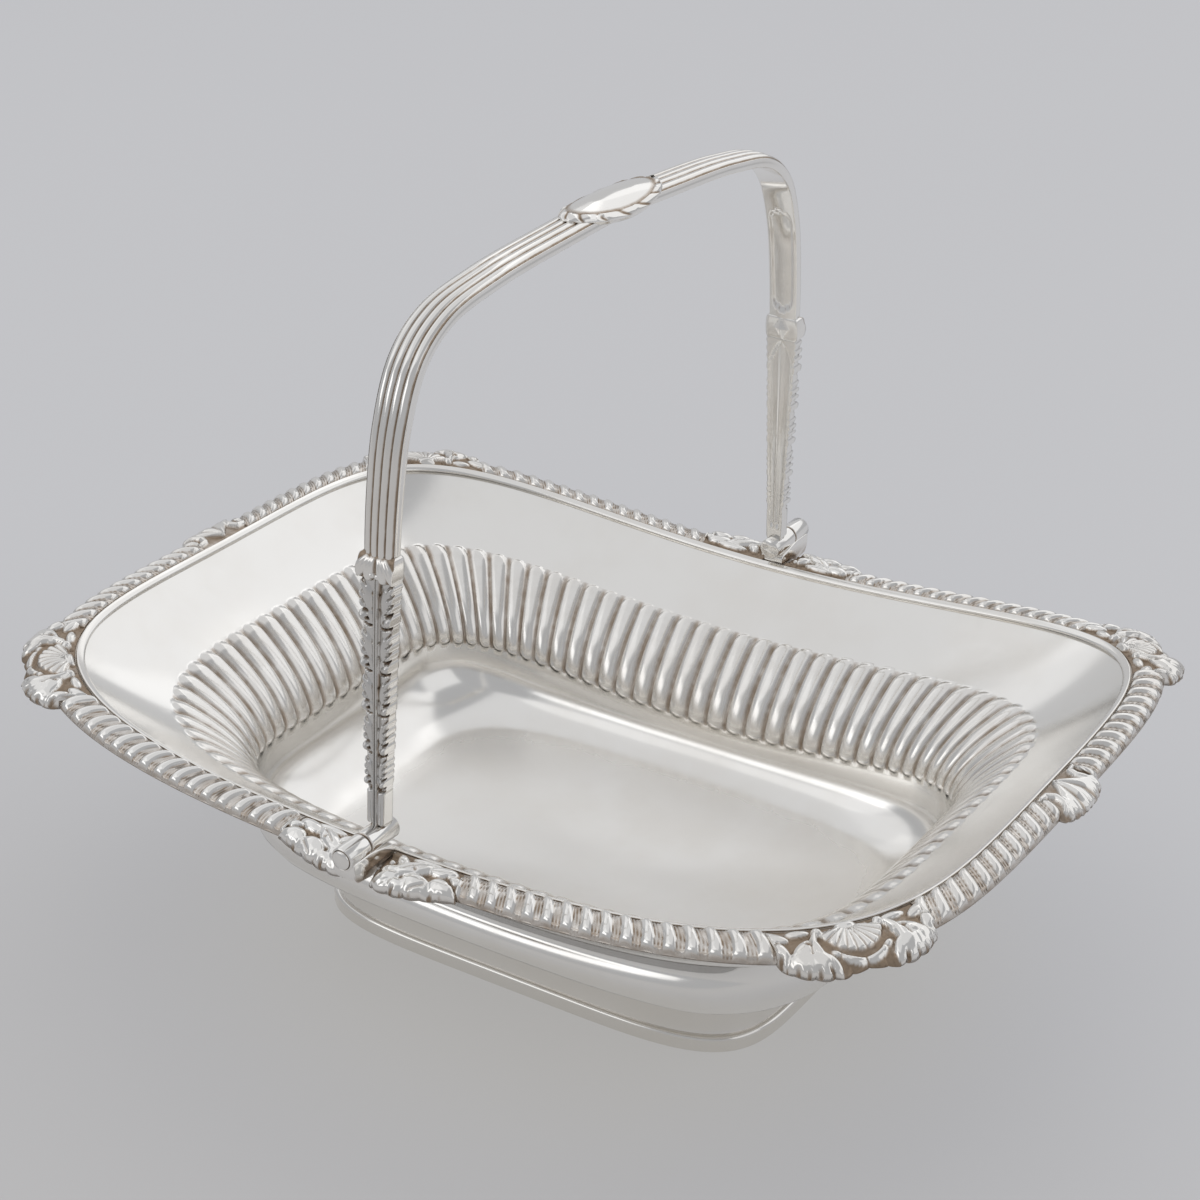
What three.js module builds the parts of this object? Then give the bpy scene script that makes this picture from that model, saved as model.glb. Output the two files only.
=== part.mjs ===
// Silver basket with a swing handle, in millimetres, +Z up.
// X runs along the basket, Y across it. The handle's hinge line runs along Y, over the middle.
// The origin is on the table, under the middle of the foot.
import * as THREE from 'three';
import { mergeVertices } from 'three/addons/utils/BufferGeometryUtils.js';

// Loops of the basket: rounded rectangles whose height differs at the side, the end and the corner.
const RIM = { length: 320, width: 233.4, squareness: 4.6, side: 85.2, end: 100.4, corner: 97.6 };
const FLUTE_TOP = { length: 269.6, width: 184.6, squareness: 4.7, side: 68.2, end: 81.9, corner: 77.8 };
const FLUTE_FOOT = { length: 225.4, width: 141.2, squareness: 4.93, side: 39, end: 48.5, corner: 48.4 };
const FLOOR = { length: 182, width: 118, squareness: 4.6, side: 22.6, end: 22.6, corner: 22.6 };
const FOOT = { length: 174.6, width: 114.6, squareness: 4.9, side: 0, end: 0, corner: 0 };

// Bowl
const SHEET = 1.2;
const FLUTES = 100;
const FLUTE_DEPTH = 1.7;
const FLUTE_BULGE = 1.8;
const WELL_BULGE = 3.2;
const WELL_END_BULGE = 0.5;
const WELL_END_SHARE = 0.35;
const WELL_TURN = THREE.MathUtils.degToRad(72);
const FLOOR_DISH = 6.5;
const FLOOR_DISH_POWER = 2.2;
const FLANGE_WIDTH = 8.4;
const FLANGE_RISE = -0.5;
const CORNER_PLACE = 0.42;
const CORNER_SPREAD = 0.13;
// Rings between the loops, as shares of the way from one loop to the next
const FLARE_RING = { across: 0.5, down: 0.56 };
const FLUTE_RINGS = [0.08, 0.45];
const WELL_RINGS = [0.2, 0.48, 0.76];
const FLOOR_RING = 0.72;

// Foot
const FOOT_BAND_HEIGHT = 5.6;
const FOOT_SHOULDER = 1;
const FOOT_WAIST_SHARE = 0.4;
const FOOT_BAND_WIDTH = 2.2;
const FOOT_BAND_EASE = 0.9;
const FOOT_WAIST = 0.4;
const FOOT_FLARE = 1.4;
const FOOT_TOP = 20.2;
const FOOT_STEPS = 48;

// Cast border
const RIM_STEPS = 88;
const WIRE_SECTION = [[-0.5, 0.8], [-1.7, 0.15], [-1.2, 1.05], [-0.4, 1.4]];
const BORDER_WIDTH = 9.6;
const BORDER_HEIGHT = 3;
const BORDER_UNDERCUT = 0.8;
const CROWN_SHAPE = [0.26, 0.86, 1, 0.68, 0.2];
const GADROON_HEIGHT = 1.1;
const GADROON_SINK = 0.4;
const GADROON_COLUMNS = 3;
const GADROON_PITCH = 6.4;
const RIB_HEIGHT = 1;
const SHELL_OVERHANG = 6.8;
const SHELL_HEIGHT = 5;
const SHELL_COLUMNS = 20;
const LEAF_OVERHANG = 7.4;
const LEAF_HEIGHT = 4.6;
const LEAF_COLUMNS = 10;
const END_SHELL_OVERHANG = 4.8;
const END_SHELL_RISE = 1;
const END_RIB_HEIGHT = 0.8;
const END_SHELL_COLUMNS = 12;
const END_SHELL_HALF = 12;
const CORNER_SHELL_START = 80;
const CORNER_SHELL_STOP = 124;
const HINGE_LEAF_FAR = 30;
const HINGE_LEAF_NEAR = 6.4;

// Hinge
const HINGE_HEIGHT = 92.4;
const KNUCKLE_RADIUS = 3.8;
const PIN_RADIUS = 1.5;
const PIN_HEAD_RADIUS = 2.9;
const PIN_HEAD = 0.9;
const KNUCKLE_INNER = 113.8;
const KNUCKLE_SPLIT = 127.5;
const KNUCKLE_OUTER = 137.4;
const KNUCKLE_PLAY = 0.4;
const PIN_INSET = 0.4;
const PIN_EASE = 0.5;
const BRACKET_WIDTH = 9;
const BRACKET_CLEARANCE = 0.5;
const BRACKET_LIP = 0.9;
const APRON_REACH = 2;
const APRON_DROP = 1.5;
const ROUND_STEPS = 16;

// Handle: its middle line, as the distance from the middle of the basket and the height over
// the hinge, from the hinge up one leg and over the shoulder to the crown
const HANDLE_LEAN = 1.5;
const HANDLE_LINE = [[119.2, 0], [117.8, 40], [116.2, 80], [114.1, 106], [110.2, 127], [102.6, 143.6],
  [90, 152.8], [66, 157.4], [30, 159.8], [0, 160.8]];
const LEG_FOOT_WIDTH = 6.6;
const LEG_TOP_WIDTH = 10.4;
const LEG_DEPTH = 5;
const LEAVES = 6;
const LEAF_SWELL = 0.9;
const LEG_NOTCH = 0.5;
const LEG_START = 3.95;
const COLLAR_START = 82.5;
const COLLAR_STOP = 90;
const ARCH_FOOT_WIDTH = 10;
const ARCH_WIDTH = 11.8;
const ARCH_DEPTH = 4.2;
const ARCH_STEPS = 44;
const ARCH_CROWDING = 0.03;
const REEDS = 4;
const REED_CREST = 0.15;
const REED_HOLLOW = 0.4;
const CARTOUCHE_LENGTH = 50;
const CARTOUCHE_WIDTH = 15.5;
const CARTOUCHE_LEVELS = [[0, 1], [1.4, 1], [2.2, 0.88], [2.3, 0.76], [2.9, 0.45]];
const CARTOUCHE_LIFT = 0.15;

const GAP = 0.3;
const SILVER = 0xd9d7d3;

const basket = new THREE.Group();

// Helpers for closed meshes

function addMesh(name, geometry, parent = basket, roughness = 0.2) {
  const material = new THREE.MeshStandardMaterial({ color: SILVER, roughness, metalness: 1 });
  const mesh = new THREE.Mesh(geometry, material);
  mesh.name = name;
  parent.add(mesh);
  return mesh;
}

function volumeOf(points, faces) {
  const cross = new THREE.Vector3();
  let total = 0;
  for (let i = 0; i < faces.length; i += 3) {
    cross.crossVectors(points[faces[i + 1]], points[faces[i + 2]]);
    total += points[faces[i]].dot(cross);
  }
  return total / 6;
}

// Turns points and faces into one closed body whose faces point out.
function closedBody(points, faces) {
  const turned = volumeOf(points, faces) < 0;
  const order = turned ? faces.map((_, i) => faces[i - (i % 3) + [0, 2, 1][i % 3]]) : faces;
  const geometry = new THREE.BufferGeometry().setFromPoints(points);
  geometry.setIndex(order);
  return mergeVertices(geometry, 1e-4);
}

// Joins loops of points, each the same count, in a band between neighbours.
function bandFaces(loops, count, wrapLoops = false) {
  const faces = [];
  const bands = wrapLoops ? loops : loops - 1;
  for (let j = 0; j < bands; j += 1) {
    for (let i = 0; i < count; i += 1) {
      const next = (i + 1) % count;
      const above = ((j + 1) % loops) * count;
      faces.push(j * count + i, j * count + next, above + next);
      faces.push(j * count + i, above + next, above + i);
    }
  }
  return faces;
}

// A ring swept right round: the last loop joins the first one.
function ringBody(loops) {
  return closedBody(loops.flat(), bandFaces(loops.length, loops[0].length, true));
}

// A bar: sections joined in a row, each end closed by a fan from its middle.
function barBody(sections) {
  const count = sections[0].length;
  const points = sections.flat();
  const faces = bandFaces(sections.length, count);
  [0, sections.length - 1].forEach((row, end) => {
    const middle = new THREE.Vector3();
    sections[row].forEach((point) => middle.addScaledVector(point, 1 / count));
    const hub = points.push(middle) - 1;
    for (let i = 0; i < count; i += 1) {
      const here = row * count + i;
      const next = row * count + ((i + 1) % count);
      faces.push(...(end ? [here, next, hub] : [next, here, hub]));
    }
  });
  return closedBody(points, faces);
}

// Points on the bowl's loops

// The height of a loop from its three named heights, at the shares u and v of its half sizes.
function loopHeight(loop, u, v) {
  const share = 2 ** (-2 / loop.squareness);
  const base = (loop.corner - share * (loop.side + loop.end)) / (1 - 2 * share);
  return base + (loop.end - base) * u * u + (loop.side - base) * v * v;
}

function loopPoint(loop, angle, outset = 0, lift = 0) {
  const a = loop.length / 2 + outset;
  const b = loop.width / 2 + outset;
  const power = loop.squareness;
  const sum = Math.abs(Math.cos(angle) / a) ** power + Math.abs(Math.sin(angle) / b) ** power;
  const x = Math.cos(angle) * sum ** (-1 / power);
  const y = Math.sin(angle) * sum ** (-1 / power);
  return new THREE.Vector3(x, y, loopHeight(loop, x / a, y / b) + lift);
}

// Lengths along a quarter of a loop, from the middle of an end to the middle of a side.
function quarterLengths(loop) {
  const steps = 240;
  const lengths = [0];
  let last = loopPoint(loop, 0);
  for (let i = 1; i <= steps; i += 1) {
    const point = loopPoint(loop, (i / steps) * (Math.PI / 2));
    lengths.push(lengths[i - 1] + Math.hypot(point.x - last.x, point.y - last.y));
    last = point;
  }
  return lengths;
}

const lengthTables = new Map();
function tableOf(loop) {
  if (!lengthTables.has(loop)) lengthTables.set(loop, quarterLengths(loop));
  return lengthTables.get(loop);
}

function quarterLength(loop) {
  return tableOf(loop).at(-1);
}

// The angle in the first quarter at a length along it from the end's middle.
function quarterAngle(loop, length) {
  const table = tableOf(loop);
  const target = THREE.MathUtils.clamp(length, 0, table.at(-1));
  let i = 1;
  while (i < table.length - 1 && table[i] < target) i += 1;
  const part = (target - table[i - 1]) / (table[i] - table[i - 1]);
  return ((i - 1 + part) / (table.length - 1)) * (Math.PI / 2);
}

// How far round the corner a share of the quarter lies, from 0 at the end to 1 at the side.
function cornerTurn(share) {
  const logistic = (value) => 1 / (1 + Math.exp((CORNER_PLACE - value) / CORNER_SPREAD));
  return (logistic(share) - logistic(0)) / (logistic(1) - logistic(0));
}

// Flutes run square to the straight sides and fan out at the corners, so a loop loses or gains
// its length against the flute tops at the corners alone.
function fannedLength(loop, share) {
  const base = quarterLength(FLUTE_TOP);
  return share * base + (quarterLength(loop) - base) * cornerTurn(share);
}

// The angle of a place round the loop: 0 is the +X end, and each quarter counts 1.
function loopAngle(loop, place) {
  const quarter = Math.floor(place);
  const share = place - quarter;
  const odd = quarter % 2;
  const inner = quarterAngle(loop, fannedLength(loop, odd ? 1 - share : share));
  return odd ? (quarter + 1) * (Math.PI / 2) - inner : quarter * (Math.PI / 2) + inner;
}

function loopRing(loop, count, outset = 0, lift = 0) {
  return Array.from({ length: count }, (_, i) => {
    return loopPoint(loop, loopAngle(loop, (4 * i) / count), outset, lift);
  });
}

// Goes from one ring to another, with its own share across and down.
function betweenRings(first, second, across, down) {
  return first.map((point, i) => {
    const other = second[i];
    const x = THREE.MathUtils.lerp(point.x, other.x, across);
    const y = THREE.MathUtils.lerp(point.y, other.y, across);
    return new THREE.Vector3(x, y, THREE.MathUtils.lerp(point.z, other.z, down));
  });
}

// Bowl: one sheet from the flange under the border to the middle of the floor

function fluteRing(top, foot, down) {
  return betweenRings(top, foot, 1 - (1 - down) ** FLUTE_BULGE, down);
}

// How far the well bulges out under the flutes: most along the sides, and little at the ends.
function wellBulge(point) {
  const fromEnd = THREE.MathUtils.smoothstep(1 - Math.abs(point.x) / (FLUTE_FOOT.length / 2), 0, WELL_END_SHARE);
  return THREE.MathUtils.lerp(WELL_END_BULGE, WELL_BULGE, fromEnd);
}

// The well bulges out under the flutes and then turns in to the floor's edge, as an arc does.
function wellRing(foot, floor, down) {
  return foot.map((point, i) => {
    const other = floor[i];
    const bulge = wellBulge(point) / Math.hypot(point.x - other.x, point.y - other.y);
    const last = Math.cos(WELL_TURN);
    const first = (1 + bulge * last) / (1 + bulge);
    const start = Math.acos(first);
    const turn = THREE.MathUtils.lerp(start, -WELL_TURN, down);
    const across = (first - Math.cos(turn)) / (first - last);
    const fall = (Math.sin(start) - Math.sin(turn)) / (Math.sin(start) + Math.sin(WELL_TURN));
    const x = THREE.MathUtils.lerp(point.x, other.x, across);
    const y = THREE.MathUtils.lerp(point.y, other.y, across);
    return new THREE.Vector3(x, y, THREE.MathUtils.lerp(point.z, other.z, fall));
  });
}

// The floor sinks from its edge to its middle.
function floorRing(floor, share) {
  const drop = FLOOR_DISH * (1 - share ** FLOOR_DISH_POWER);
  return floor.map((point) => new THREE.Vector3(point.x * share, point.y * share, point.z - drop));
}

function innerRings() {
  const count = FLUTES * 2;
  const rim = loopRing(RIM, count);
  const top = loopRing(FLUTE_TOP, count);
  const foot = loopRing(FLUTE_FOOT, count);
  const floor = loopRing(FLOOR, count);
  const smooth = [
    loopRing(RIM, count, FLANGE_WIDTH, FLANGE_RISE),
    rim,
    betweenRings(rim, top, FLARE_RING.across, FLARE_RING.down),
    top,
    ...FLUTE_RINGS.map((down) => fluteRing(top, foot, down)),
    foot,
    ...WELL_RINGS.map((down) => wellRing(foot, floor, down)),
    floor,
    floorRing(floor, FLOOR_RING),
  ];
  return { smooth, depths: [0, 0, 0, 0, 1, 1, 0, 0, 0, 0, 0, 0] };
}

// The unit vector out of the upper side of the sheet at one point of the rings.
function sheetNormal(rings, j, i) {
  const count = rings[j].length;
  const inward = rings[Math.min(j + 1, rings.length - 1)][i].clone();
  inward.sub(rings[Math.max(j - 1, 0)][i]);
  const around = rings[j][(i + 1) % count].clone().sub(rings[j][(i + count - 1) % count]);
  return around.cross(inward).normalize();
}

function bowlGeometry() {
  const { smooth, depths } = innerRings();
  const count = FLUTES * 2;
  const upper = [];
  const lower = [];
  smooth.forEach((ring, j) => {
    const raised = ring.map((point, i) => {
      const rib = (i % 2 ? 0.5 : -0.5) * FLUTE_DEPTH * depths[j];
      return { point, normal: sheetNormal(smooth, j, i), rib };
    });
    upper.push(raised.map((p) => p.point.clone().addScaledVector(p.normal, p.rib)));
    lower.push(raised.map((p) => p.point.clone().addScaledVector(p.normal, p.rib - SHEET)));
  });
  const loops = [...upper, ...lower.reverse()];
  const points = loops.flat();
  const faces = bandFaces(loops.length, count);
  const middle = FLOOR.side - FLOOR_DISH;
  const floorHub = points.push(new THREE.Vector3(0, 0, middle)) - 1;
  const underHub = points.push(new THREE.Vector3(0, 0, middle - SHEET)) - 1;
  // The floor is a fan on each face, and the two sheets join at the flange's outer edge.
  const floorRow = (upper.length - 1) * count;
  const underRow = upper.length * count;
  const edgeRow = (loops.length - 1) * count;
  const open = faces.filter((_, f) => {
    const band = Math.floor(f / (count * 6));
    return band !== upper.length - 1;
  });
  for (let i = 0; i < count; i += 1) {
    const next = (i + 1) % count;
    open.push(floorRow + i, floorRow + next, floorHub);
    open.push(underRow + next, underRow + i, underHub);
    open.push(edgeRow + i, edgeRow + next, next);
    open.push(edgeRow + i, next, i);
  }
  return closedBody(points, open);
}

// Foot: a hollow collet that stands on its own base moulding

function footLoops(section, count) {
  return section.map(([outset, height]) => loopRing(FOOT, count, outset, height));
}

function footBandGeometry() {
  const section = [[0, 0], [0, FOOT_BAND_HEIGHT - FOOT_BAND_EASE], [-FOOT_BAND_EASE, FOOT_BAND_HEIGHT],
    [-FOOT_BAND_WIDTH, FOOT_BAND_HEIGHT], [-FOOT_BAND_WIDTH, 0]];
  return ringBody(footLoops(section, FOOT_STEPS));
}

function footWallGeometry() {
  const face = -FOOT_BAND_WIDTH - GAP;
  const shoulder = FOOT_BAND_HEIGHT + FOOT_SHOULDER;
  const waist = THREE.MathUtils.lerp(shoulder, FOOT_TOP, FOOT_WAIST_SHARE);
  const outer = [[face, GAP], [face, shoulder], [face - FOOT_WAIST, waist],
    [face + FOOT_FLARE, FOOT_TOP]];
  const inner = outer.map(([outset, height]) => [outset - SHEET, height]).reverse();
  return ringBody(footLoops([...outer, ...inner], FOOT_STEPS));
}

// Cast border: gadroon lengths, shells and leaves, each a relief strip on the flange

// A relief strip over a stretch of one quarter. Lengths count from the end's middle, and
// relief(i, j) gives each top point's height, with j from the inner lip to the outer edge.
function reliefStrip(quarter, start, stop, columns, relief, overhang = () => 0) {
  const rows = CROWN_SHAPE.length;
  const sections = [];
  for (let i = 0; i <= columns; i += 1) {
    const length = THREE.MathUtils.lerp(start, stop, i / columns);
    const width = BORDER_WIDTH + overhang(i / columns);
    const section = [];
    for (let j = 0; j < rows; j += 1) {
      const outset = GAP + ((width - GAP) * j) / (rows - 1);
      section.push(borderPoint(quarter, length, outset, relief(i, j)));
    }
    section.push(borderPoint(quarter, length, width - BORDER_UNDERCUT, flangeTop(width) + GAP));
    section.push(borderPoint(quarter, length, GAP, GAP));
    sections.push(section);
  }
  return barBody(sections);
}

function flangeTop(outset) {
  return (FLANGE_RISE * Math.min(outset, FLANGE_WIDTH)) / FLANGE_WIDTH;
}

// A point of the border in a quarter: 0 and 2 run on from the end, 1 and 3 are their mirrors.
function borderPoint(quarter, length, outset, lift) {
  const inner = quarterAngle(RIM, length);
  const point = loopPoint(RIM, inner, outset, lift);
  const signX = quarter === 0 || quarter === 3 ? 1 : -1;
  const signY = quarter === 0 || quarter === 1 ? 1 : -1;
  return new THREE.Vector3(point.x * signX, point.y * signY, point.z);
}

function crownHeight(j, height = BORDER_HEIGHT) {
  return height * CROWN_SHAPE[j];
}

// Slanted lobes: every third point of a row stands up, and each row starts one point on.
function gadroonStrip(quarter, start, stop, lean) {
  const lobes = Math.round((stop - start) / GADROON_PITCH);
  const relief = (i, j) => {
    const column = i - lean * j + GADROON_COLUMNS * CROWN_SHAPE.length;
    const crest = column % GADROON_COLUMNS === 0 ? 1 : 0;
    return crownHeight(j) + (crest - GADROON_SINK) * GADROON_HEIGHT * CROWN_SHAPE[j];
  };
  return reliefStrip(quarter, start, stop, lobes * GADROON_COLUMNS, relief);
}

// A fan of ribs that swells in the middle of its stretch, where the shell overhangs the edge.
function ribbedStrip(quarter, start, stop, columns, [height, overhang], bulge) {
  const relief = (i, j) => {
    const swell = bulge(i / columns);
    const rib = (i % 2 ? 0.5 : -0.5) * RIB_HEIGHT * CROWN_SHAPE[j];
    return THREE.MathUtils.lerp(crownHeight(j), crownHeight(j, height), swell) + rib;
  };
  return reliefStrip(quarter, start, stop, columns, relief, (part) => overhang * bulge(part));
}

// A shell swells quickly from both of its ends, and a leaf more slowly towards the hinge.
function shellSwell(part) {
  return Math.sin(Math.PI * part) ** 0.4;
}

function leafSwell(part) {
  return Math.sin(Math.PI * (0.05 + 0.9 * part)) ** 0.5 * (0.3 + 0.7 * part);
}

const QUARTERS = ['back_right', 'back_left', 'front_left', 'front_right'];

function addBorder() {
  const full = quarterLength(RIM);
  const shellSize = [SHELL_HEIGHT, SHELL_OVERHANG];
  const leafSize = [LEAF_HEIGHT, LEAF_OVERHANG];
  QUARTERS.forEach((name, quarter) => {
    const endRun = gadroonStrip(quarter, END_SHELL_HALF + GAP, CORNER_SHELL_START - GAP, 1);
    addMesh(`end_gadroons_${name}`, endRun);
    const cornerStop = full - CORNER_SHELL_STOP;
    const leafStart = full - HINGE_LEAF_FAR;
    const leafStop = full - HINGE_LEAF_NEAR;
    const sideRun = gadroonStrip(quarter, cornerStop + GAP, leafStart - GAP, -1);
    addMesh(`side_gadroons_${name}`, sideRun);
    const shell = ribbedStrip(quarter, CORNER_SHELL_START, cornerStop, SHELL_COLUMNS, shellSize, shellSwell);
    addMesh(`corner_shell_${name}`, shell);
    const leaf = ribbedStrip(quarter, leafStart, leafStop, LEAF_COLUMNS, leafSize, leafSwell);
    addMesh(`hinge_leaf_${name}`, leaf);
  });
}

// The small shell over the middle of an end crosses from one quarter to the next.
function endShellGeometry(side) {
  const rows = CROWN_SHAPE.length;
  const sections = [];
  for (let i = 0; i <= END_SHELL_COLUMNS; i += 1) {
    const offset = THREE.MathUtils.lerp(-END_SHELL_HALF, END_SHELL_HALF, i / END_SHELL_COLUMNS);
    const front = offset < 0;
    const quarter = side > 0 ? (front ? 3 : 0) : (front ? 2 : 1);
    const swell = Math.sin((Math.PI * i) / END_SHELL_COLUMNS);
    const width = BORDER_WIDTH + END_SHELL_OVERHANG * swell;
    const section = [];
    for (let j = 0; j < rows; j += 1) {
      const rib = (i % 2 ? 0.5 : -0.5) * (j ? END_RIB_HEIGHT : 0);
      const lift = crownHeight(j, BORDER_HEIGHT + END_SHELL_RISE * swell) + rib;
      const outset = GAP + ((width - GAP) * j) / (rows - 1);
      section.push(borderPoint(quarter, Math.abs(offset), outset, lift));
    }
    section.push(borderPoint(quarter, Math.abs(offset), width - BORDER_UNDERCUT, flangeTop(width) + GAP));
    section.push(borderPoint(quarter, Math.abs(offset), GAP, GAP));
    sections.push(section);
  }
  return barBody(sections);
}

// Thin moulded wire that covers the border's inner edge, lying on the bowl
function rimWireGeometry() {
  return ringBody(WIRE_SECTION.map(([outset, lift]) => loopRing(RIM, RIM_STEPS, outset, lift)));
}

// Hinge: a bracket and a fixed knuckle on the border, a knuckle on the handle, and a pin

function knuckleGeometry(from, to) {
  const outline = new THREE.Shape().absarc(0, 0, KNUCKLE_RADIUS, 0, Math.PI * 2);
  outline.holes.push(new THREE.Path().absarc(0, 0, PIN_RADIUS + GAP, 0, Math.PI * 2));
  const settings = { depth: to - from, bevelEnabled: false, curveSegments: ROUND_STEPS / 2 };
  const geometry = new THREE.ExtrudeGeometry(outline, settings);
  return geometry.rotateX(-Math.PI / 2).translate(0, from, 0);
}

function pinGeometry() {
  const tip = KNUCKLE_INNER + PIN_INSET;
  const neck = KNUCKLE_OUTER + GAP;
  const profile = [[0, tip], [PIN_RADIUS, tip], [PIN_RADIUS, neck], [PIN_HEAD_RADIUS, neck],
    [PIN_HEAD_RADIUS, neck + PIN_HEAD / 2], [PIN_HEAD_RADIUS - PIN_EASE, neck + PIN_HEAD],
    [0, neck + PIN_HEAD]];
  return new THREE.LatheGeometry(profile.map(([r, y]) => new THREE.Vector2(r, y)), ROUND_STEPS);
}

// The bracket stands on the flange between the leaves and carries the fixed knuckle.
function bracketGeometry() {
  const top = HINGE_HEIGHT - KNUCKLE_RADIUS - BRACKET_CLEARANCE;
  const seat = RIM.side + GAP + BRACKET_CLEARANCE;
  const inside = RIM.width / 2 + GAP;
  const outline = new THREE.Shape();
  outline.moveTo(KNUCKLE_INNER + 1, top - BRACKET_LIP * 0.7);
  outline.lineTo(inside, top - BRACKET_LIP);
  outline.lineTo(inside, seat);
  outline.lineTo(inside + FLANGE_WIDTH, seat + FLANGE_RISE);
  outline.lineTo(inside + FLANGE_WIDTH + APRON_REACH, seat - APRON_DROP);
  outline.quadraticCurveTo(KNUCKLE_OUTER - 1.5, seat - 1, KNUCKLE_OUTER - 0.5, top);
  outline.lineTo(KNUCKLE_INNER + 1, top);
  const settings = { depth: BRACKET_WIDTH, bevelEnabled: false, curveSegments: 4 };
  const geometry = new THREE.ExtrudeGeometry(outline, settings);
  geometry.translate(0, 0, -BRACKET_WIDTH / 2);
  geometry.applyMatrix4(new THREE.Matrix4().set(0, 0, 1, 0, 1, 0, 0, 0, 0, 1, 0, 0, 0, 0, 0, 1));
  return geometry;
}

function onSide(geometry, side) {
  return side > 0 ? geometry : geometry.rotateZ(Math.PI);
}

function stripped(geometry) {
  geometry.deleteAttribute('normal');
  geometry.deleteAttribute('uv');
  return mergeVertices(geometry, 1e-4);
}

// Handle: leaf legs, collars, a reeded arch and a plain oval cartouche on the crown

function handleCurve() {
  const front = HANDLE_LINE.map(([reach, height]) => new THREE.Vector3(0, -reach, height));
  const back = HANDLE_LINE.slice(0, -1).map(([reach, height]) => new THREE.Vector3(0, reach, height));
  const curve = new THREE.CatmullRomCurve3([...front, ...back.reverse()], false, 'centripetal');
  curve.arcLengthDivisions = 400;
  return curve;
}

const handleLine = handleCurve();

// The share of the handle line, by length, where the front leg has risen to a height.
function partAtHeight(height) {
  let low = 0;
  let high = 0.45;
  for (let i = 0; i < 30; i += 1) {
    const middle = (low + high) / 2;
    if (handleLine.getPointAt(middle).z < height) low = middle;
    else high = middle;
  }
  return low;
}

// A section across the handle line, from its points across (along X) and out of the arch.
function handleSection(part, outline) {
  const middle = handleLine.getPointAt(part);
  const along = handleLine.getTangentAt(part);
  return outline.map(([across, outward]) => {
    const y = middle.y - along.z * outward;
    return new THREE.Vector3(across, y, middle.z + along.y * outward);
  });
}

function legOutline(width, depth) {
  const half = width / 2;
  return [[half, -depth / 2], [half, depth * 0.12], [half * 0.42, depth * 0.42], [0, depth * 0.62],
    [-half * 0.42, depth * 0.42], [-half, depth * 0.12], [-half, -depth / 2]];
}

// The leg narrows to its foot, and each leaf along it swells over the root of the next one.
function legGeometry() {
  const steps = LEAVES * 4;
  const sections = [];
  for (let i = 0; i <= steps; i += 1) {
    const share = i / steps;
    const height = THREE.MathUtils.lerp(LEG_START + GAP, COLLAR_START - GAP, share);
    const leaf = Math.abs(Math.sin(Math.PI * LEAVES * share)) * LEAF_SWELL;
    const width = THREE.MathUtils.lerp(LEG_FOOT_WIDTH, LEG_TOP_WIDTH, share) + leaf - LEG_NOTCH;
    sections.push(handleSection(partAtHeight(height), legOutline(width, LEG_DEPTH + leaf * 0.5)));
  }
  return barBody(sections);
}

function collarGeometry() {
  const outline = (grow) => legOutline(LEG_TOP_WIDTH + grow, LEG_DEPTH + grow * 0.6);
  const places = [[0, 0.6], [0.25, 2.2], [0.7, 2], [1, 0.8]];
  return barBody(places.map(([share, grow]) => {
    const height = THREE.MathUtils.lerp(COLLAR_START, COLLAR_STOP - GAP, share);
    return handleSection(partAtHeight(height), outline(grow));
  }));
}

// A D section with reeds over its outer side.
function archOutline(width) {
  const outline = [[width / 2, -ARCH_DEPTH / 2], [width / 2, 0]];
  for (let i = 1; i < REEDS * 2; i += 1) {
    const across = width * (0.5 - i / (REEDS * 2));
    const crown = (ARCH_DEPTH / 2) * (1 - 0.7 * ((2 * across) / width) ** 2);
    outline.push([across, crown + (i % 2 ? REED_CREST : -REED_HOLLOW)]);
  }
  outline.push([-width / 2, 0], [-width / 2, -ARCH_DEPTH / 2]);
  return outline;
}

function archGeometry() {
  const first = partAtHeight(COLLAR_STOP);
  const sections = [];
  for (let i = 0; i <= ARCH_STEPS; i += 1) {
    // Steps crowd at the shoulders, where the line turns.
    const eased = i / ARCH_STEPS - Math.sin((4 * Math.PI * i) / ARCH_STEPS) * ARCH_CROWDING;
    const rise = Math.sin(Math.PI * eased) ** 0.7;
    const width = THREE.MathUtils.lerp(ARCH_FOOT_WIDTH, ARCH_WIDTH, rise);
    sections.push(handleSection(THREE.MathUtils.lerp(first, 1 - first, eased), archOutline(width)));
  }
  return barBody(sections);
}

// An oval plate, slightly domed, that sits over the crown of the arch and bends with it.
function cartoucheGeometry() {
  const sides = 28;
  const crown = handleLine.getPointAt(0.5).z;
  const [, shoulder] = HANDLE_LINE.at(-2);
  const fall = (crown - shoulder) / HANDLE_LINE.at(-2)[0] ** 2;
  const base = crown + ARCH_DEPTH / 2 + CARTOUCHE_LIFT + GAP;
  const loops = CARTOUCHE_LEVELS.map(([lift, scale]) => Array.from({ length: sides }, (_, i) => {
    const angle = (2 * Math.PI * i) / sides;
    const y = (Math.cos(angle) * scale * CARTOUCHE_LENGTH) / 2;
    const x = (Math.sin(angle) * scale * CARTOUCHE_WIDTH) / 2;
    return new THREE.Vector3(x, y, base - fall * y * y + lift);
  }));
  return barBody(loops);
}

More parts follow.
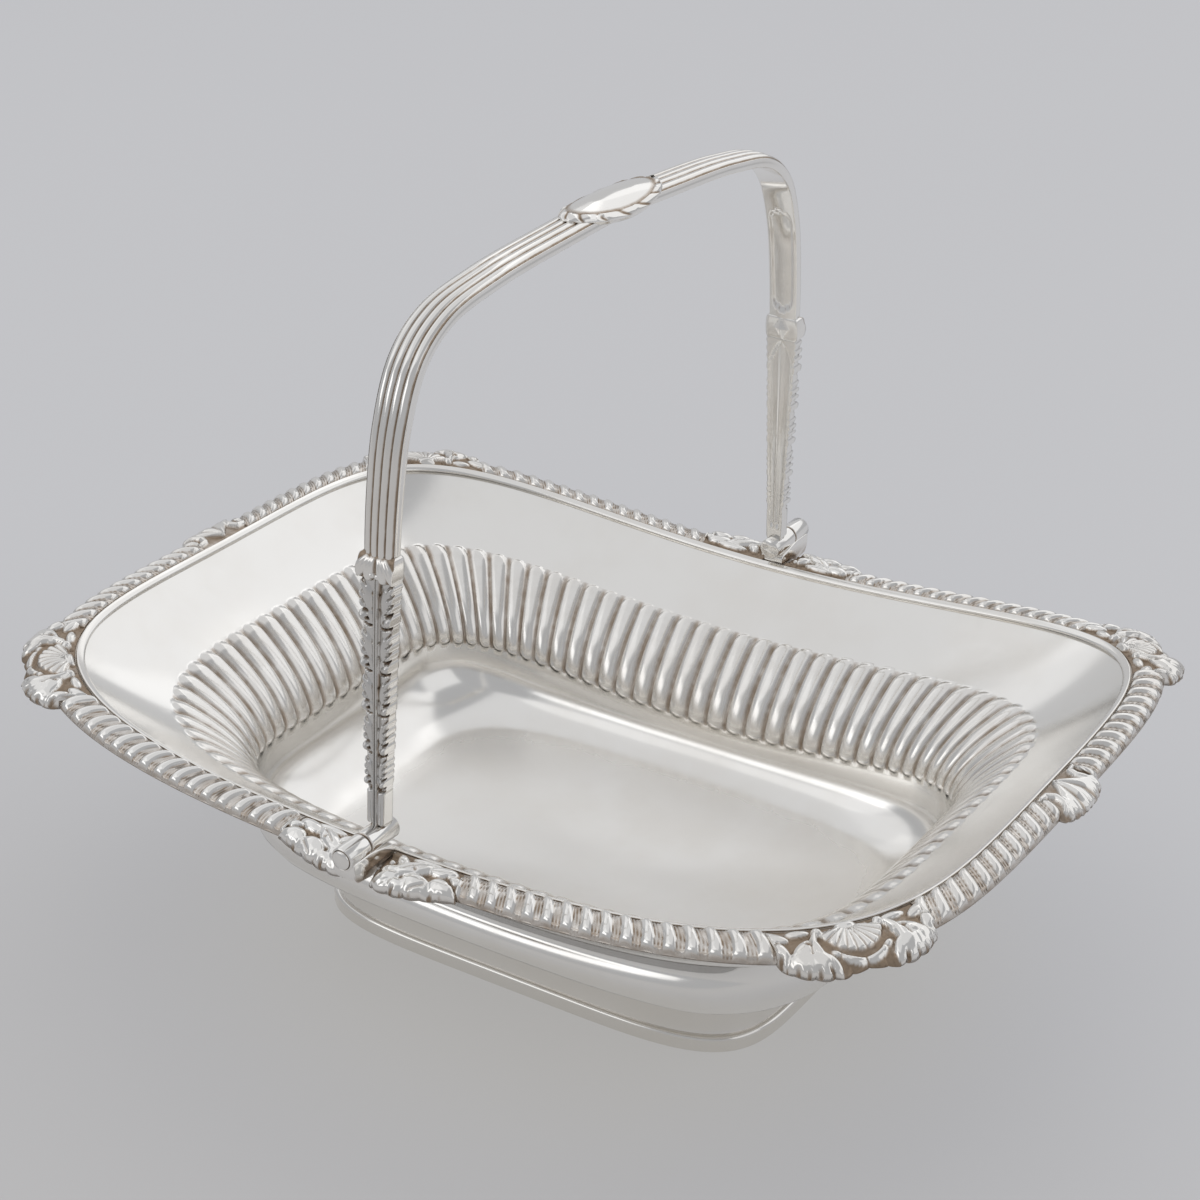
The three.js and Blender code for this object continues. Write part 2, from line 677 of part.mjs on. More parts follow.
function addHinges(handle) {
  [['back', 1], ['front', -1]].forEach(([name, side]) => {
    addMesh(`hinge_bracket_${name}`, stripped(onSide(bracketGeometry(), side)));
    const fixed = onSide(knuckleGeometry(KNUCKLE_SPLIT + KNUCKLE_PLAY / 2, KNUCKLE_OUTER), side);
    addMesh(`fixed_knuckle_${name}`, stripped(fixed)).position.z = HINGE_HEIGHT;
    const pin = onSide(pinGeometry(), side);
    addMesh(`hinge_pin_${name}`, stripped(pin)).position.z = HINGE_HEIGHT;
    const moving = onSide(knuckleGeometry(KNUCKLE_INNER, KNUCKLE_SPLIT - KNUCKLE_PLAY / 2), side);
    addMesh(`handle_knuckle_${name}`, stripped(moving), handle);
    const leg = side > 0 ? legGeometry().rotateZ(Math.PI) : legGeometry();
    addMesh(`handle_leg_${name}`, leg, handle);
    const collar = side > 0 ? collarGeometry().rotateZ(Math.PI) : collarGeometry();
    addMesh(`leg_collar_${name}`, collar, handle);
  });
}

function addHandle() {
  const handle = new THREE.Group();
  handle.position.z = HINGE_HEIGHT;
  handle.rotation.y = THREE.MathUtils.degToRad(HANDLE_LEAN);
  basket.add(handle);
  addHinges(handle);
  addMesh('handle_arch', archGeometry(), handle);
  addMesh('handle_cartouche', cartoucheGeometry(), handle);
}

addMesh('bowl', bowlGeometry());
addMesh('foot_wall', footWallGeometry());
addMesh('foot_band', footBandGeometry());
addMesh('rim_wire', rimWireGeometry());
addBorder();
addMesh('end_shell_right', endShellGeometry(1));
addMesh('end_shell_left', endShellGeometry(-1));
addHandle();

export default basket;
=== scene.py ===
"""A silver table basket with a swing handle. Shapes are worked out in millimetres."""
import math
import bmesh
import bpy
import numpy as np
from mathutils import Matrix, Vector


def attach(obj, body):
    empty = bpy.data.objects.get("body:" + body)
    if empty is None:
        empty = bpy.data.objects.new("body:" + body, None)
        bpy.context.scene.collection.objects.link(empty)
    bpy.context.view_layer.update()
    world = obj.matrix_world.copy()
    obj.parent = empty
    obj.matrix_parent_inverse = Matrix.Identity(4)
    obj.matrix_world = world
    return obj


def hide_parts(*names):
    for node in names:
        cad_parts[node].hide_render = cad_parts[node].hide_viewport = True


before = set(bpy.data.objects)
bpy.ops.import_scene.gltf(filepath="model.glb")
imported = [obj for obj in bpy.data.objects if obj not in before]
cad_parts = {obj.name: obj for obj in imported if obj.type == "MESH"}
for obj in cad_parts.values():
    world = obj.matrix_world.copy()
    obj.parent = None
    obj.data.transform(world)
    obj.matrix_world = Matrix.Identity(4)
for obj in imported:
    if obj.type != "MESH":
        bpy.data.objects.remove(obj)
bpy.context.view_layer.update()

MM = 0.001
WELD_REACH = 1e-3
QUARTER_STEPS = 480

# Sizes of the CAD model, in millimetres
SHEET = 1.2
FLUTES = 100
FLANGE_WIDTH = 8.4
FLANGE_RISE = -0.5
CORNER_PLACE, CORNER_SPREAD = 0.42, 0.13
BORDER_WIDTH = 9.6
FOOT_TOP = 20.2
DISH, DISH_POWER = 6.5, 2.2
WELL_BULGE, WELL_END_BULGE, WELL_END_SHARE = 3.2, 0.5, 0.35
WELL_TURN = math.radians(72)


# Loops of the basket

class Loop:
    """A rounded rectangle whose height differs at the side, the end and the corner."""

    def __init__(self, length, width, squareness, side, end, corner):
        self.a, self.b, self.power = length / 2, width / 2, squareness
        share = 2 ** (-2 / squareness)
        self.base = (corner - share * (side + end)) / (1 - 2 * share)
        self.side, self.end = side, end
        self.angles = np.linspace(0, math.pi / 2, QUARTER_STEPS + 1)
        points = self.point(self.angles)
        steps = np.hypot(np.diff(points[:, 0]), np.diff(points[:, 1]))
        self.lengths = np.concatenate([[0], np.cumsum(steps)])
        self.quarter = self.lengths[-1]

    def point(self, angle, outset=0.0, lift=0.0):
        a, b = self.a + outset, self.b + outset
        cos, sin = np.cos(angle), np.sin(angle)
        reach = (np.abs(cos / a) ** self.power + np.abs(sin / b) ** self.power) ** (-1 / self.power)
        x, y = cos * reach, sin * reach
        rise = (self.end - self.base) * (x / a) ** 2 + (self.side - self.base) * (y / b) ** 2
        return np.stack([x, y, self.base + rise + lift], -1)

    def angle_at(self, length):
        return np.interp(length, self.lengths, self.angles)


RIM = Loop(320, 233.4, 4.6, 85.2, 100.4, 97.6)
FLUTE_TOP = Loop(269.6, 184.6, 4.7, 68.2, 81.9, 77.8)
FLUTE_FOOT = Loop(225.4, 141.2, 4.93, 39, 48.5, 48.4)
FLOOR = Loop(182, 118, 4.6, 22.6, 22.6, 22.6)
FOOT = Loop(174.6, 114.6, 4.9, 0, 0, 0)


def corner_turn(share):
    """How much of a longer loop's extra length lies behind a share of its quarter."""
    def logistic(value):
        return 1 / (1 + np.exp((CORNER_PLACE - value) / CORNER_SPREAD))
    return (logistic(share) - logistic(0)) / (logistic(1) - logistic(0))


def loop_angle(loop, place):
    """The angle of a place round the loop: 0 is the +X end, and each quarter counts 1."""
    quarter = np.floor(place)
    share = place - quarter
    odd = quarter % 2 == 1
    inner = np.where(odd, 1 - share, share)
    length = inner * FLUTE_TOP.quarter + (loop.quarter - FLUTE_TOP.quarter) * corner_turn(inner)
    angle = loop.angle_at(length)
    return np.where(odd, (quarter + 1) * math.pi / 2 - angle, quarter * math.pi / 2 + angle)


def loop_at(loop, place, outset=0.0, lift=0.0):
    return loop.point(loop_angle(loop, place), outset, lift)


def ramp(value, low, high):
    return np.clip((value - low) / (high - low), 0, 1)


def smooth(value, low, high):
    part = ramp(value, low, high)
    return part * part * (3 - 2 * part)


def mix(first, second, part):
    return first + (second - first) * part


# Making pieces

def tarnish_layer(bm):
    return bm.verts.layers.float.get("tarnish") or bm.verts.layers.float.new("tarnish")


def grid(bm, columns, rows, shape):
    """A grid whose points are moved to shape(across, along), each a share from 0 to 1.
    shape returns points and the tarnish at each."""
    layer = tarnish_layer(bm)
    made = bmesh.ops.create_grid(bm, x_segments=columns, y_segments=rows, size=1)["verts"]
    flat = np.array([vert.co[:2] for vert in made]) / 2 + 0.5
    points, tarnish = shape(flat[:, 0], flat[:, 1])
    for vert, point, value in zip(made, points, np.broadcast_to(tarnish, (len(made),))):
        vert.co = point
        vert[layer] = value


def weld(bm):
    bmesh.ops.remove_doubles(bm, verts=bm.verts[:], dist=WELD_REACH)
    loose = [edge for edge in bm.edges if not edge.link_faces]
    bmesh.ops.delete(bm, geom=loose, context="EDGES")


def pick(values, share):
    """The values at shares of the way along them."""
    return values[np.rint(share * (len(values) - 1)).astype(int)]


def in_scene(name, data):
    obj = bpy.data.objects.new(name, data)
    bpy.context.scene.collection.objects.link(obj)
    return obj


def with_mesh(name, bm, material):
    mesh = bpy.data.meshes.new(name)
    bm.to_mesh(mesh)
    bm.free()
    mesh.materials.append(material)
    return in_scene(name, mesh)


def piece(name, bm, body, material, nodes, sharp=None):
    """Finishes a mesh made in millimetres as a piece in place of nodes of the CAD model.
    Edges that turn by more than sharp degrees stay crisp."""
    bmesh.ops.recalc_face_normals(bm, faces=bm.faces[:])
    bmesh.ops.scale(bm, vec=(MM, MM, MM), verts=bm.verts[:])
    for face in bm.faces:
        face.smooth = True
    if sharp:
        for edge in bm.edges:
            edge.smooth = edge.calc_face_angle(0) < math.radians(sharp)
    obj = with_mesh(name, bm, material)
    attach(obj, body)
    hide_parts(*nodes)


def sheet_piece(name, body, material, node, size, shape, filled=False):
    """A piece made of one grid that is welded where it meets itself, with its ends filled or not."""
    bm = bmesh.new()
    grid(bm, *size, shape)
    weld(bm)
    if filled:
        bmesh.ops.holes_fill(bm, edges=[edge for edge in bm.edges if edge.is_boundary], sides=0)
    piece(name, bm, body, material, [node])


# Shader maths

class Value:
    """A socket of a node tree, with the sums and products that the finishes use."""

    def __init__(self, maker, socket):
        self.maker, self.socket = maker, socket

    def __add__(self, other):
        return self.maker.node("Math", {"operation": "ADD"}, [self, other])

    def __mul__(self, other):
        return self.maker.node("Math", {"operation": "MULTIPLY"}, [self, other])

    __radd__, __rmul__ = __add__, __mul__


class Nodes:
    """Makes and joins the nodes of a tree."""

    def __init__(self, tree):
        self.tree = tree

    def node(self, kind, settings=None, values=(), out=0):
        made = self.tree.nodes.new("ShaderNode" + kind)
        for key, value in (settings or {}).items():
            setattr(made, key, value)
        pairs = values.items() if isinstance(values, dict) else enumerate(values)
        for key, value in pairs:
            self.put(made.inputs[key], value)
        return Value(self, made.outputs[out])

    def put(self, socket, value):
        if isinstance(value, Value):
            self.tree.links.new(value.socket, socket)
        elif isinstance(value, tuple) and len(value) == 3 and len(socket.default_value) == 4:
            socket.default_value = (*value, 1)
        else:
            socket.default_value = value

    def colours(self, part, first, second):
        return self.node("Mix", {"data_type": "RGBA"}, {0: part, 6: first, 7: second}, out=2)

    def seen(self):
        """1 for what the camera sees, straight or in a mirror."""
        rays = [self.node("LightPath", out=f"Is {kind} Ray") for kind in ("Camera", "Glossy")]
        return self.node("Math", {"operation": "MAXIMUM"}, rays)


class Finish(Nodes):
    """A material in the making."""

    def __init__(self, name):
        self.material = bpy.data.materials.new(name)
        self.material.use_nodes = True
        super().__init__(self.material.node_tree)
        self.shader = self.tree.nodes["Principled BSDF"]

    def place(self, scale=(1, 1, 1)):
        spot = self.node("TexCoord", out="Object")
        return self.node("Mapping", {}, {"Vector": spot, "Scale": scale})

    def noise(self, scale, detail, rough, stretch=(1, 1, 1)):
        values = {"Vector": self.place(stretch), "Scale": scale, "Detail": detail, "Roughness": rough}
        return self.node("TexNoise", {}, values)

    def clamp(self, value, low, high):
        """A soft step, 0 at low and 1 at high."""
        return self.node("MapRange", {"interpolation_type": "SMOOTHSTEP"}, [value, low, high, 0.0, 1.0])

    def bump(self, height, distance, strength, **under):
        values = {"Height": height, "Distance": distance, "Strength": strength, **under}
        return self.node("Bump", {}, values)

    def set(self, **values):
        for key, value in values.items():
            self.put(self.shader.inputs[key.replace("_", " ")], value)
        return self.material


BRIGHT = (0.935, 0.92, 0.89)
WARM = (0.80, 0.755, 0.69)
BROWN = (0.37, 0.285, 0.21)
DARK = (0.10, 0.078, 0.06)

# Scale, detail and roughness of the patterns in the silver
CLOUDS, SPECKS, MOTTLE = (22.0, 4.0, 0.6), (900.0, 3.0, 0.7), (160.0, 4.0, 0.65)
MARKS, WAVES, GRAIN = (240.0, 2.0, 0.5), (26.0, 1.0, 0.4), (1500.0, 2.0, 0.5)
MARKS_STRETCH = (1, 0.12, 1)

# In metres: the depths of the waves and the grain, and the heights where satin starts and is full
WAVE_DEPTH, GRAIN_DEPTH = 0.0003, 0.00001
GRAIN_STRENGTH = 0.35
SATIN_EDGE, SATIN_FULL = 0.024, 0.0205


def silver(name, rough, film=0.25, bright=BRIGHT, satin=0.0):
    """Polished silver. The tarnish attribute browns its hollows, and a thin warm film lies in
    clouds over the rest. Where bright is a darker tone, that tone is a painted dark reflection, and
    tarnish below 0 brings the plain bright silver back. Satin dulls the floor."""
    finish = Finish(name)
    hollow = finish.node("Attribute", {"attribute_name": "tarnish"}, out="Fac")
    clouds = finish.clamp(finish.noise(*CLOUDS), 0.38, 0.72)
    specks = finish.noise(*SPECKS)
    mottle = finish.noise(*MOTTLE)
    depth = finish.clamp(hollow * (0.3 + 1.2 * mottle), 0.08, 0.85)
    deep = finish.clamp(hollow * (0.6 + 0.6 * specks), 0.75, 1.15)
    # A darker bright is a painted dark reflection, mixed back to BRIGHT where tarnish is below 0
    if bright != BRIGHT:
        bright = finish.colours(finish.clamp(hollow, -1.0, -0.1), BRIGHT, bright)
    base = finish.colours(clouds * film, bright, WARM)
    brown = finish.colours(depth, base, BROWN)
    colour = finish.colours(deep, brown, DARK)
    marks = finish.clamp(finish.noise(*MARKS, MARKS_STRETCH), 0.55, 0.8)
    gloss = rough + 0.05 * clouds + 0.05 * marks + 0.28 * depth + 0.2 * deep
    if satin:
        height = finish.node("SeparateXYZ", {}, [finish.place()], out=2)
        gloss = gloss + satin * finish.clamp(height, SATIN_EDGE, SATIN_FULL)
    waves = finish.bump(finish.noise(*WAVES), WAVE_DEPTH, 1.0)
    grain = finish.bump(finish.noise(*GRAIN), GRAIN_DEPTH, GRAIN_STRENGTH, Normal=waves)
    return finish.set(Base_Color=colour, Metallic=1.0, Roughness=gloss, Normal=grain)


BOWL_SILVER = silver("worn polished sheet silver", 0.15, satin=0.16)
# The foot's silver is painted a darker, warmer tone: a painted reflection of the table in front of it
FOOT_SILVER = silver("polished foot silver", 0.1, bright=(0.84, 0.82, 0.785))
# The leg's silver is painted a darker grey: a painted dark reflection of the dark room in front of it
LEG_SILVER = silver("chased silver with a painted dark reflection", 0.13, 0.3, bright=(0.68, 0.67, 0.655))
CAST_SILVER = silver("chased cast silver", 0.12, film=0.35)
PLAIN_SILVER = silver("plain hinge silver", 0.12, film=0.3)
HANDLE_SILVER = silver("polished reeded silver", 0.1, film=0.3)


# Bowl. Its section runs from 0 at the flange's edge to 5 at the middle of the floor.

RIM_MARK, FLUTES_FROM, FLUTES_TO, SECTION_END = 1, 2, 3, 5
FLAT_FROM = 4.97
NUDGE = 1e-3
FLARE_SAG, WALL_CURVE, WALL_DROP = 0.24, 1.8, 37.0
FLUTE_ROUND, FLUTE_TAPER, FLUTE_HEIGHT = 4.2, 0.82, 1.7
FLUTE_HEAD, FLUTE_TOE = 1.1, 1.3
FLUTE_SQUARE, FLUTE_FULL = 2.2, 0.62
FLUTE_COLUMNS, FLUTE_CROWDING = 8, 0.7
OUTER_FADE, OUTER_PLAIN = 2.4, 2.72
INNER_BULGING, OUTER_BULGING = 0.3, 1.6


def zones(*parts):
    """Shares along the section, with more rows where a part is given more."""
    marks = [parts[0][0]]
    for (start, count), (stop, _) in zip(parts, parts[1:]):
        marks += list(np.linspace(start, stop, count + 1)[1:])
    return np.array(marks)


def well_turn(foot, floor, part, bulging):
    """Shares inward and down of the well, which bulges out under the flutes and turns in to the floor."""
    from_end = smooth(1 - np.abs(foot[:, 0]) / FLUTE_FOOT.a, 0, WELL_END_SHARE)
    bulge = mix(WELL_END_BULGE, WELL_BULGE, from_end) * bulging
    bulge = (bulge / np.hypot(*(foot - floor)[:, :2].T))[:, None]
    last = math.cos(WELL_TURN)
    first = (1 + bulge * last) / (1 + bulge)
    start = np.arccos(first)
    turn = mix(start, -WELL_TURN, part)
    across = (first - np.cos(turn)) / (first - last)
    return across, (np.sin(start) - np.sin(turn)) / (np.sin(start) + math.sin(WELL_TURN))


def bowl_section(place, down, bulging):
    """Points of the bowl's face before its flutes, at a place round it and a way down it."""
    flange = loop_at(RIM, place, FLANGE_WIDTH, FLANGE_RISE)
    rim, top = loop_at(RIM, place), loop_at(FLUTE_TOP, place)
    foot, floor = loop_at(FLUTE_FOOT, place), loop_at(FLOOR, place)
    middle = np.zeros_like(rim) + [0, 0, FLOOR.side]
    which = np.floor(np.minimum(down, SECTION_END - NUDGE))
    part = (down - which)[:, None]
    flare_down = part * (1 + FLARE_SAG - FLARE_SAG * part)
    wall_across = 1 - (1 - part) ** WALL_CURVE
    well_across, well_down = well_turn(foot, floor, part, bulging)

    def step(first, second, across, fall):
        plan = mix(first[:, :2], second[:, :2], across)
        return np.hstack([plan, mix(first[:, 2:], second[:, 2:], fall)])

    steps = [step(flange, rim, part, part), step(rim, top, part, flare_down),
             step(top, foot, wall_across, part), step(foot, floor, well_across, well_down),
             step(floor, middle, part, part)]
    steps[4][:, 2:] = FLOOR.side - DISH * (1 - (1 - part) ** DISH_POWER)
    return np.choose(which.astype(int)[:, None], steps)


def bowl_normals(place, down, bulging):
    """Unit vectors out of the inner face."""
    above, below = np.maximum(down - NUDGE, 0), np.minimum(down + NUDGE, SECTION_END)
    behind, ahead = (place - NUDGE) % 4, (place + NUDGE) % 4
    inward = bowl_section(place, below, bulging) - bowl_section(place, above, bulging)
    around = bowl_section(ahead, down, bulging) - bowl_section(behind, down, bulging)
    normal = np.cross(around, inward)
    normal /= np.maximum(np.linalg.norm(normal, axis=1), 1e-9)[:, None]
    normal[down > FLAT_FROM] = [0, 0, 1]
    return normal


def flute_relief(place, down):
    """How far a flute stands out of the face, and the tarnish in the line beside it."""
    side = np.abs(2 * ((place * FLUTES / 4) % 1) - 1)
    begin, end = (down - FLUTES_FROM) * WALL_DROP, (FLUTES_TO - down) * WALL_DROP
    half = FLUTE_ROUND * mix(1, FLUTE_TAPER, np.clip(down - FLUTES_FROM, 0, 1))
    short = np.maximum(1 - begin / (half * FLUTE_HEAD), 1 - end / (half * FLUTE_TOE)).clip(0)
    spread = (side * 0.985) ** FLUTE_SQUARE + short ** FLUTE_SQUARE
    lobe = np.clip(1 - spread, 0, 1) ** FLUTE_FULL
    inside = (down > FLUTES_FROM) & (down < FLUTES_TO)
    line = 0.22 + 0.48 * smooth(side, 0.62, 0.97) * smooth(short, 1.2, 0.6)
    ends = smooth(short, 0.8, 1.0) * (1 - smooth(short, 1.0, 1.25))
    return np.where(inside, lobe * FLUTE_HEIGHT, 0), np.where(inside, np.maximum(line, 0.2 * ends), 0)


def around_columns():
    """Places round the bowl, closer together at the lines between the flutes."""
    ticks = np.arange(FLUTE_COLUMNS + 1) / FLUTE_COLUMNS
    ticks = mix(ticks, (1 - np.cos(math.pi * ticks)) / 2, FLUTE_CROWDING)
    places = (np.arange(FLUTES)[:, None] + ticks[None, :-1]).ravel() * 4 / FLUTES
    return np.append(places, 4.0)


def bowl_sheet(bm, marks, depth, bulging):
    """One skin of the bowl. The outer one lies a depth below the inner, and its flutes fade."""
    places = around_columns()

    def shape(across, along):
        place, down = pick(places, across) % 4, pick(marks, along)
        points, normals = bowl_section(place, down, bulging), bowl_normals(place, down, bulging)
        relief, tarnish = flute_relief(place, down)
        foot_line = 0.2 * smooth(np.abs(down - FLUTES_TO), 0.03, 0.0)
        if depth:
            fade = smooth(down, OUTER_PLAIN, OUTER_FADE)
            relief, tarnish, foot_line = relief * fade, tarnish * fade, 0
        out = relief - depth * smooth(down, 0.0, 0.3)
        lip = 0.5 * smooth(down, RIM_MARK + 0.03, RIM_MARK)
        return points + normals * out[:, None], np.maximum(np.maximum(tarnish, foot_line), lip)

    grid(bm, len(places) - 1, len(marks) - 1, shape)


def make_bowl():
    upper = zones((0, 2), (1, 14), (1.97, 1), (2, 8), (2.1, 16), (2.92, 6), (3, 13), (4, 9), (5, 0))
    lower = zones((0, 1), (1, 6), (2, 5), (2.1, 8), (2.92, 4), (3, 7), (4, 2), (5, 0))
    bm = bmesh.new()
    bowl_sheet(bm, upper, 0.0, INNER_BULGING)
    bowl_sheet(bm, lower, SHEET, OUTER_BULGING)
    weld(bm)
    piece("fluted_bowl", bm, "basket", BOWL_SILVER, ["bowl"])


# Mouldings that run right round a loop: outlines of outset and height

FOOT_BAND = [(0, 0.0), (-0.05, 4.6), (-0.75, 5.4), (-1.9, 5.55), (-2.1, 5.5), (-2.1, 0)]
FOOT_WALL = [(-1.45, 5.3), (-1.8, 6.6), (-2.2, 9.6), (-2.3, 13), (-2.1, 16), (-1.6, 18.5), (-1.0, FOOT_TOP)]
RIM_LIP = [(-0.25, 0.4), (-0.5, -0.3), (-2.4, -1.1), (-2.5, -0.25), (-1.9, 0.5), (-0.7, 1.15), (-0.3, 1.0)]
FOOT_COLUMNS, RIM_COLUMNS = 480, 640
ROUND_SHARE = 0.48


def eased(points, steps, reach):
    """A closed outline with its corners rounded, over no more than about half of each side."""
    points = np.array(points, float)
    out = []
    for i, here in enumerate(points):
        sides = [points[i - 1] - here, points[(i + 1) % len(points)] - here]
        lengths = [np.linalg.norm(side) for side in sides]
        cut = min(reach, *(length * ROUND_SHARE for length in lengths))
        first, last = (here + side / length * cut for side, length in zip(sides, lengths))
        for part in np.linspace(0, 1, steps + 1):
            out.append(mix(mix(first, here, part), mix(here, last, part), part))
    return np.array(out)


def moulding(name, material, node, loop, outline, columns, tarnish):
    """Carries a closed outline round a loop. tarnish is worked out from outset and height."""
    closed = np.vstack([outline, outline[:1]])

    def shape(across, along):
        outset, lift = pick(closed, along).T
        return loop_at(loop, across * 4 % 4, outset, lift), tarnish(outset, lift)

    sheet_piece(name, "basket", material, node, (columns, len(closed) - 1), shape)


def make_mouldings():
    moulding("foot_moulding", FOOT_SILVER, "foot_band", FOOT, eased(FOOT_BAND, 4, 0.45),
             FOOT_COLUMNS, lambda outset, lift: 0.15 * smooth(outset, -1.2, -1.9))
    inner = [(outset - SHEET, lift) for outset, lift in reversed(FOOT_WALL)]
    moulding("foot_collet", FOOT_SILVER, "foot_wall", FOOT, eased(FOOT_WALL + inner, 2, 1.2),
             FOOT_COLUMNS, lambda outset, lift: 0.15 * smooth(lift, 6.2, 5.4))
    moulding("rim_wire_moulding", CAST_SILVER, "rim_wire", RIM, eased(RIM_LIP, 3, 0.4), RIM_COLUMNS,
             lambda outset, lift: 0.4 * smooth(outset, -0.5, -0.3) + 0.2 * smooth(lift, -0.1, -0.5))


# Carving: heights over a ground, with places in millimetres

VEIN = 0.25


def dome(value):
    return np.sqrt(np.clip(1 - value * value, 0, 1))


def petal(x, y, root, tip, width, height, bend=0.0):
    """A tongue of leaf that swells from its root and turns over at its tip."""
    root, tip = np.array(root, float), np.array(tip, float)
    axis = tip - root
    length = np.hypot(*axis)
    axis /= length
    px, py = x - root[0], y - root[1]
    along = (px * axis[0] + py * axis[1]) / length
    across = py * axis[0] - px * axis[1] - bend * length * 4 * along * (1 - along)
    part = np.clip(along, 0, 1)
    half = width / 2 * np.sin(math.pi * (0.12 + 0.88 * part ** 1.5)) ** 0.5
    body = dome(np.abs(across) / np.maximum(half, 1e-6))
    body *= np.where((along > 0) & (along < 1), 1, 0) * mix(0.45, 1.0, np.sin(part * math.pi * 0.62))
    groove = VEIN * np.exp(-(across / (0.11 * width)) ** 2) * smooth(part, 1.0, 0.7)
    return height * body * (1 - groove)


def from_line(x, y, start, end):
    """How far along a line the nearest spot of it lies, from 0 to 1, and how far off that is."""
    start, step = np.array(start, float), np.array(end, float) - start
    part = np.clip(((x - start[0]) * step[0] + (y - start[1]) * step[1]) / (step @ step), 0, 1)
    return part, np.hypot(x - start[0] - part * step[0], y - start[1] - part * step[1])


def ridge(x, y, path, width, height):
    """A rounded ridge that follows a path of points and tapers at its ends."""
    best, share = np.full(np.shape(x), 1e9), np.zeros(np.shape(x))
    for i, ends in enumerate(zip(path, path[1:])):
        part, off = from_line(x, y, *ends)
        share = np.where(off < best, (i + part) / (len(path) - 1), share)
        best = np.minimum(best, off)
    half = width / 2 * mix(0.55, 1.0, np.sin(math.pi * share))
    return height * dome(best / half)


def bead(x, y, spot, radius, height):
    return height * dome(np.hypot(x - spot[0], y - spot[1]) / radius)


def pad(x, y, spot, long, wide, turn, height, full=0.42):
    """A broad swollen lobe of leaf, long along its turn."""
    cos, sin = math.cos(math.radians(turn)), math.sin(math.radians(turn))
    along = ((x - spot[0]) * cos + (y - spot[1]) * sin) / long
    across = ((y - spot[1]) * cos - (x - spot[0]) * sin) / wide
    return height * np.clip(1 - along ** 2 - across ** 2, 0, 1) ** full


def highest(*heights):
    return np.maximum.reduce(heights)


def pads(x, y, lobes):
    return highest(*(pad(x, y, *lobe) for lobe in lobes))


def cuts(x, y, lines, width=0.5):
    """How deep the cuts between the lobes are, from 0 to 1. Each is a start and an end."""
    deep = np.zeros(np.shape(x))
    for start, end in lines:
        part, off = from_line(x, y, start, end)
        deep = np.maximum(deep, smooth(off, width * 1.5, width * 0.5) * smooth(part, 0.0, 0.25))
    return deep


# Cast border

CREST, ROLL = 0.9, 4.0
ROLL_FROM, ROLL_SPAN = 0.3, 0.72
STRIP_START = 0.15
DROOP = 0.22

# The underside of the border, from its edge back to the rim
UNDER_ROWS = 5
EDGE_THICKNESS = 0.5
UNDER_OUTSETS = [8.8, 8.65, STRIP_START]
UNDER_HEIGHTS = [-2.9, -2.9, -0.3, 0.12]


def crown(share, rise=0.0):
    """The ground of the border, which rises from the lip and rolls down over the flange's edge."""
    return CREST + rise - (ROLL + rise) * (1 - dome((share - ROLL_FROM) / ROLL_SPAN))


def border_point(quarter, length, outset, lift):
    """A point of the border by its quarter, its length from the middle of the end, and how far
    out and up it lies."""
    signs = [1 if quarter in (0, 3) else -1, 1 if quarter in (0, 1) else -1, 1]
    point = RIM.point(RIM.angle_at(np.abs(length)), outset, lift)
    return point * signs * np.where(length < 0, -1, 1)[:, None] ** [0, 1, 0]


def relief_strip(part, node, quarter, name, span, size, width, relief):
    """A length of cast border. width(length) is how far it reaches out, and
    relief(length, outset, share) gives its height and its tarnish."""
    columns, rows = size

    def shape(across, along):
        length = mix(*span, across)
        row = np.rint(along * (rows + UNDER_ROWS)).astype(int)
        closing = row == rows + UNDER_ROWS
        top = (row <= rows) | closing
        share = np.where(closing, 0, np.minimum(row / rows, 1))
        reach = width(length)
        outset = mix(STRIP_START, reach, share)
        height, tarnish = relief(length, outset, share)
        below = np.clip(row - rows - 1, 0, UNDER_ROWS - 2)
        outset = np.where(top, outset, np.choose(below, [reach - EDGE_THICKNESS, *UNDER_OUTSETS]))
        height = np.where(top, height, np.choose(below, UNDER_HEIGHTS))
        sag = np.maximum(outset - BORDER_WIDTH, 0) * DROOP
        return border_point(quarter, length, outset, height - sag), np.where(top, tarnish, 0.6)

    sheet_piece(f"{part}_{name}", "basket", CAST_SILVER, f"{node}_{name}",
                (columns, rows + UNDER_ROWS), shape, filled=True)


PITCH = 6.4
LOBE_INSIDE, LOBE_OUTSIDE = 0.6, 0.66
LOBE_HEIGHT, LOBE_SHAPE, REED_HEIGHT = 1.9, 0.8, 0.85
SLANT, SLANT_CURVE = 1.2, 0.42


def drift(length):
    """How far along the rim a point moves for each millimetre that it moves out."""
    angle, nudge = RIM.angle_at(length), 0.5
    ahead = RIM.point(RIM.angle_at(length + nudge)) - RIM.point(RIM.angle_at(length - nudge))
    x, y = np.cos(angle), np.sin(angle)
    return (x * ahead[:, 0] + y * ahead[:, 1]) / (x * ahead[:, 1] - y * ahead[:, 0])


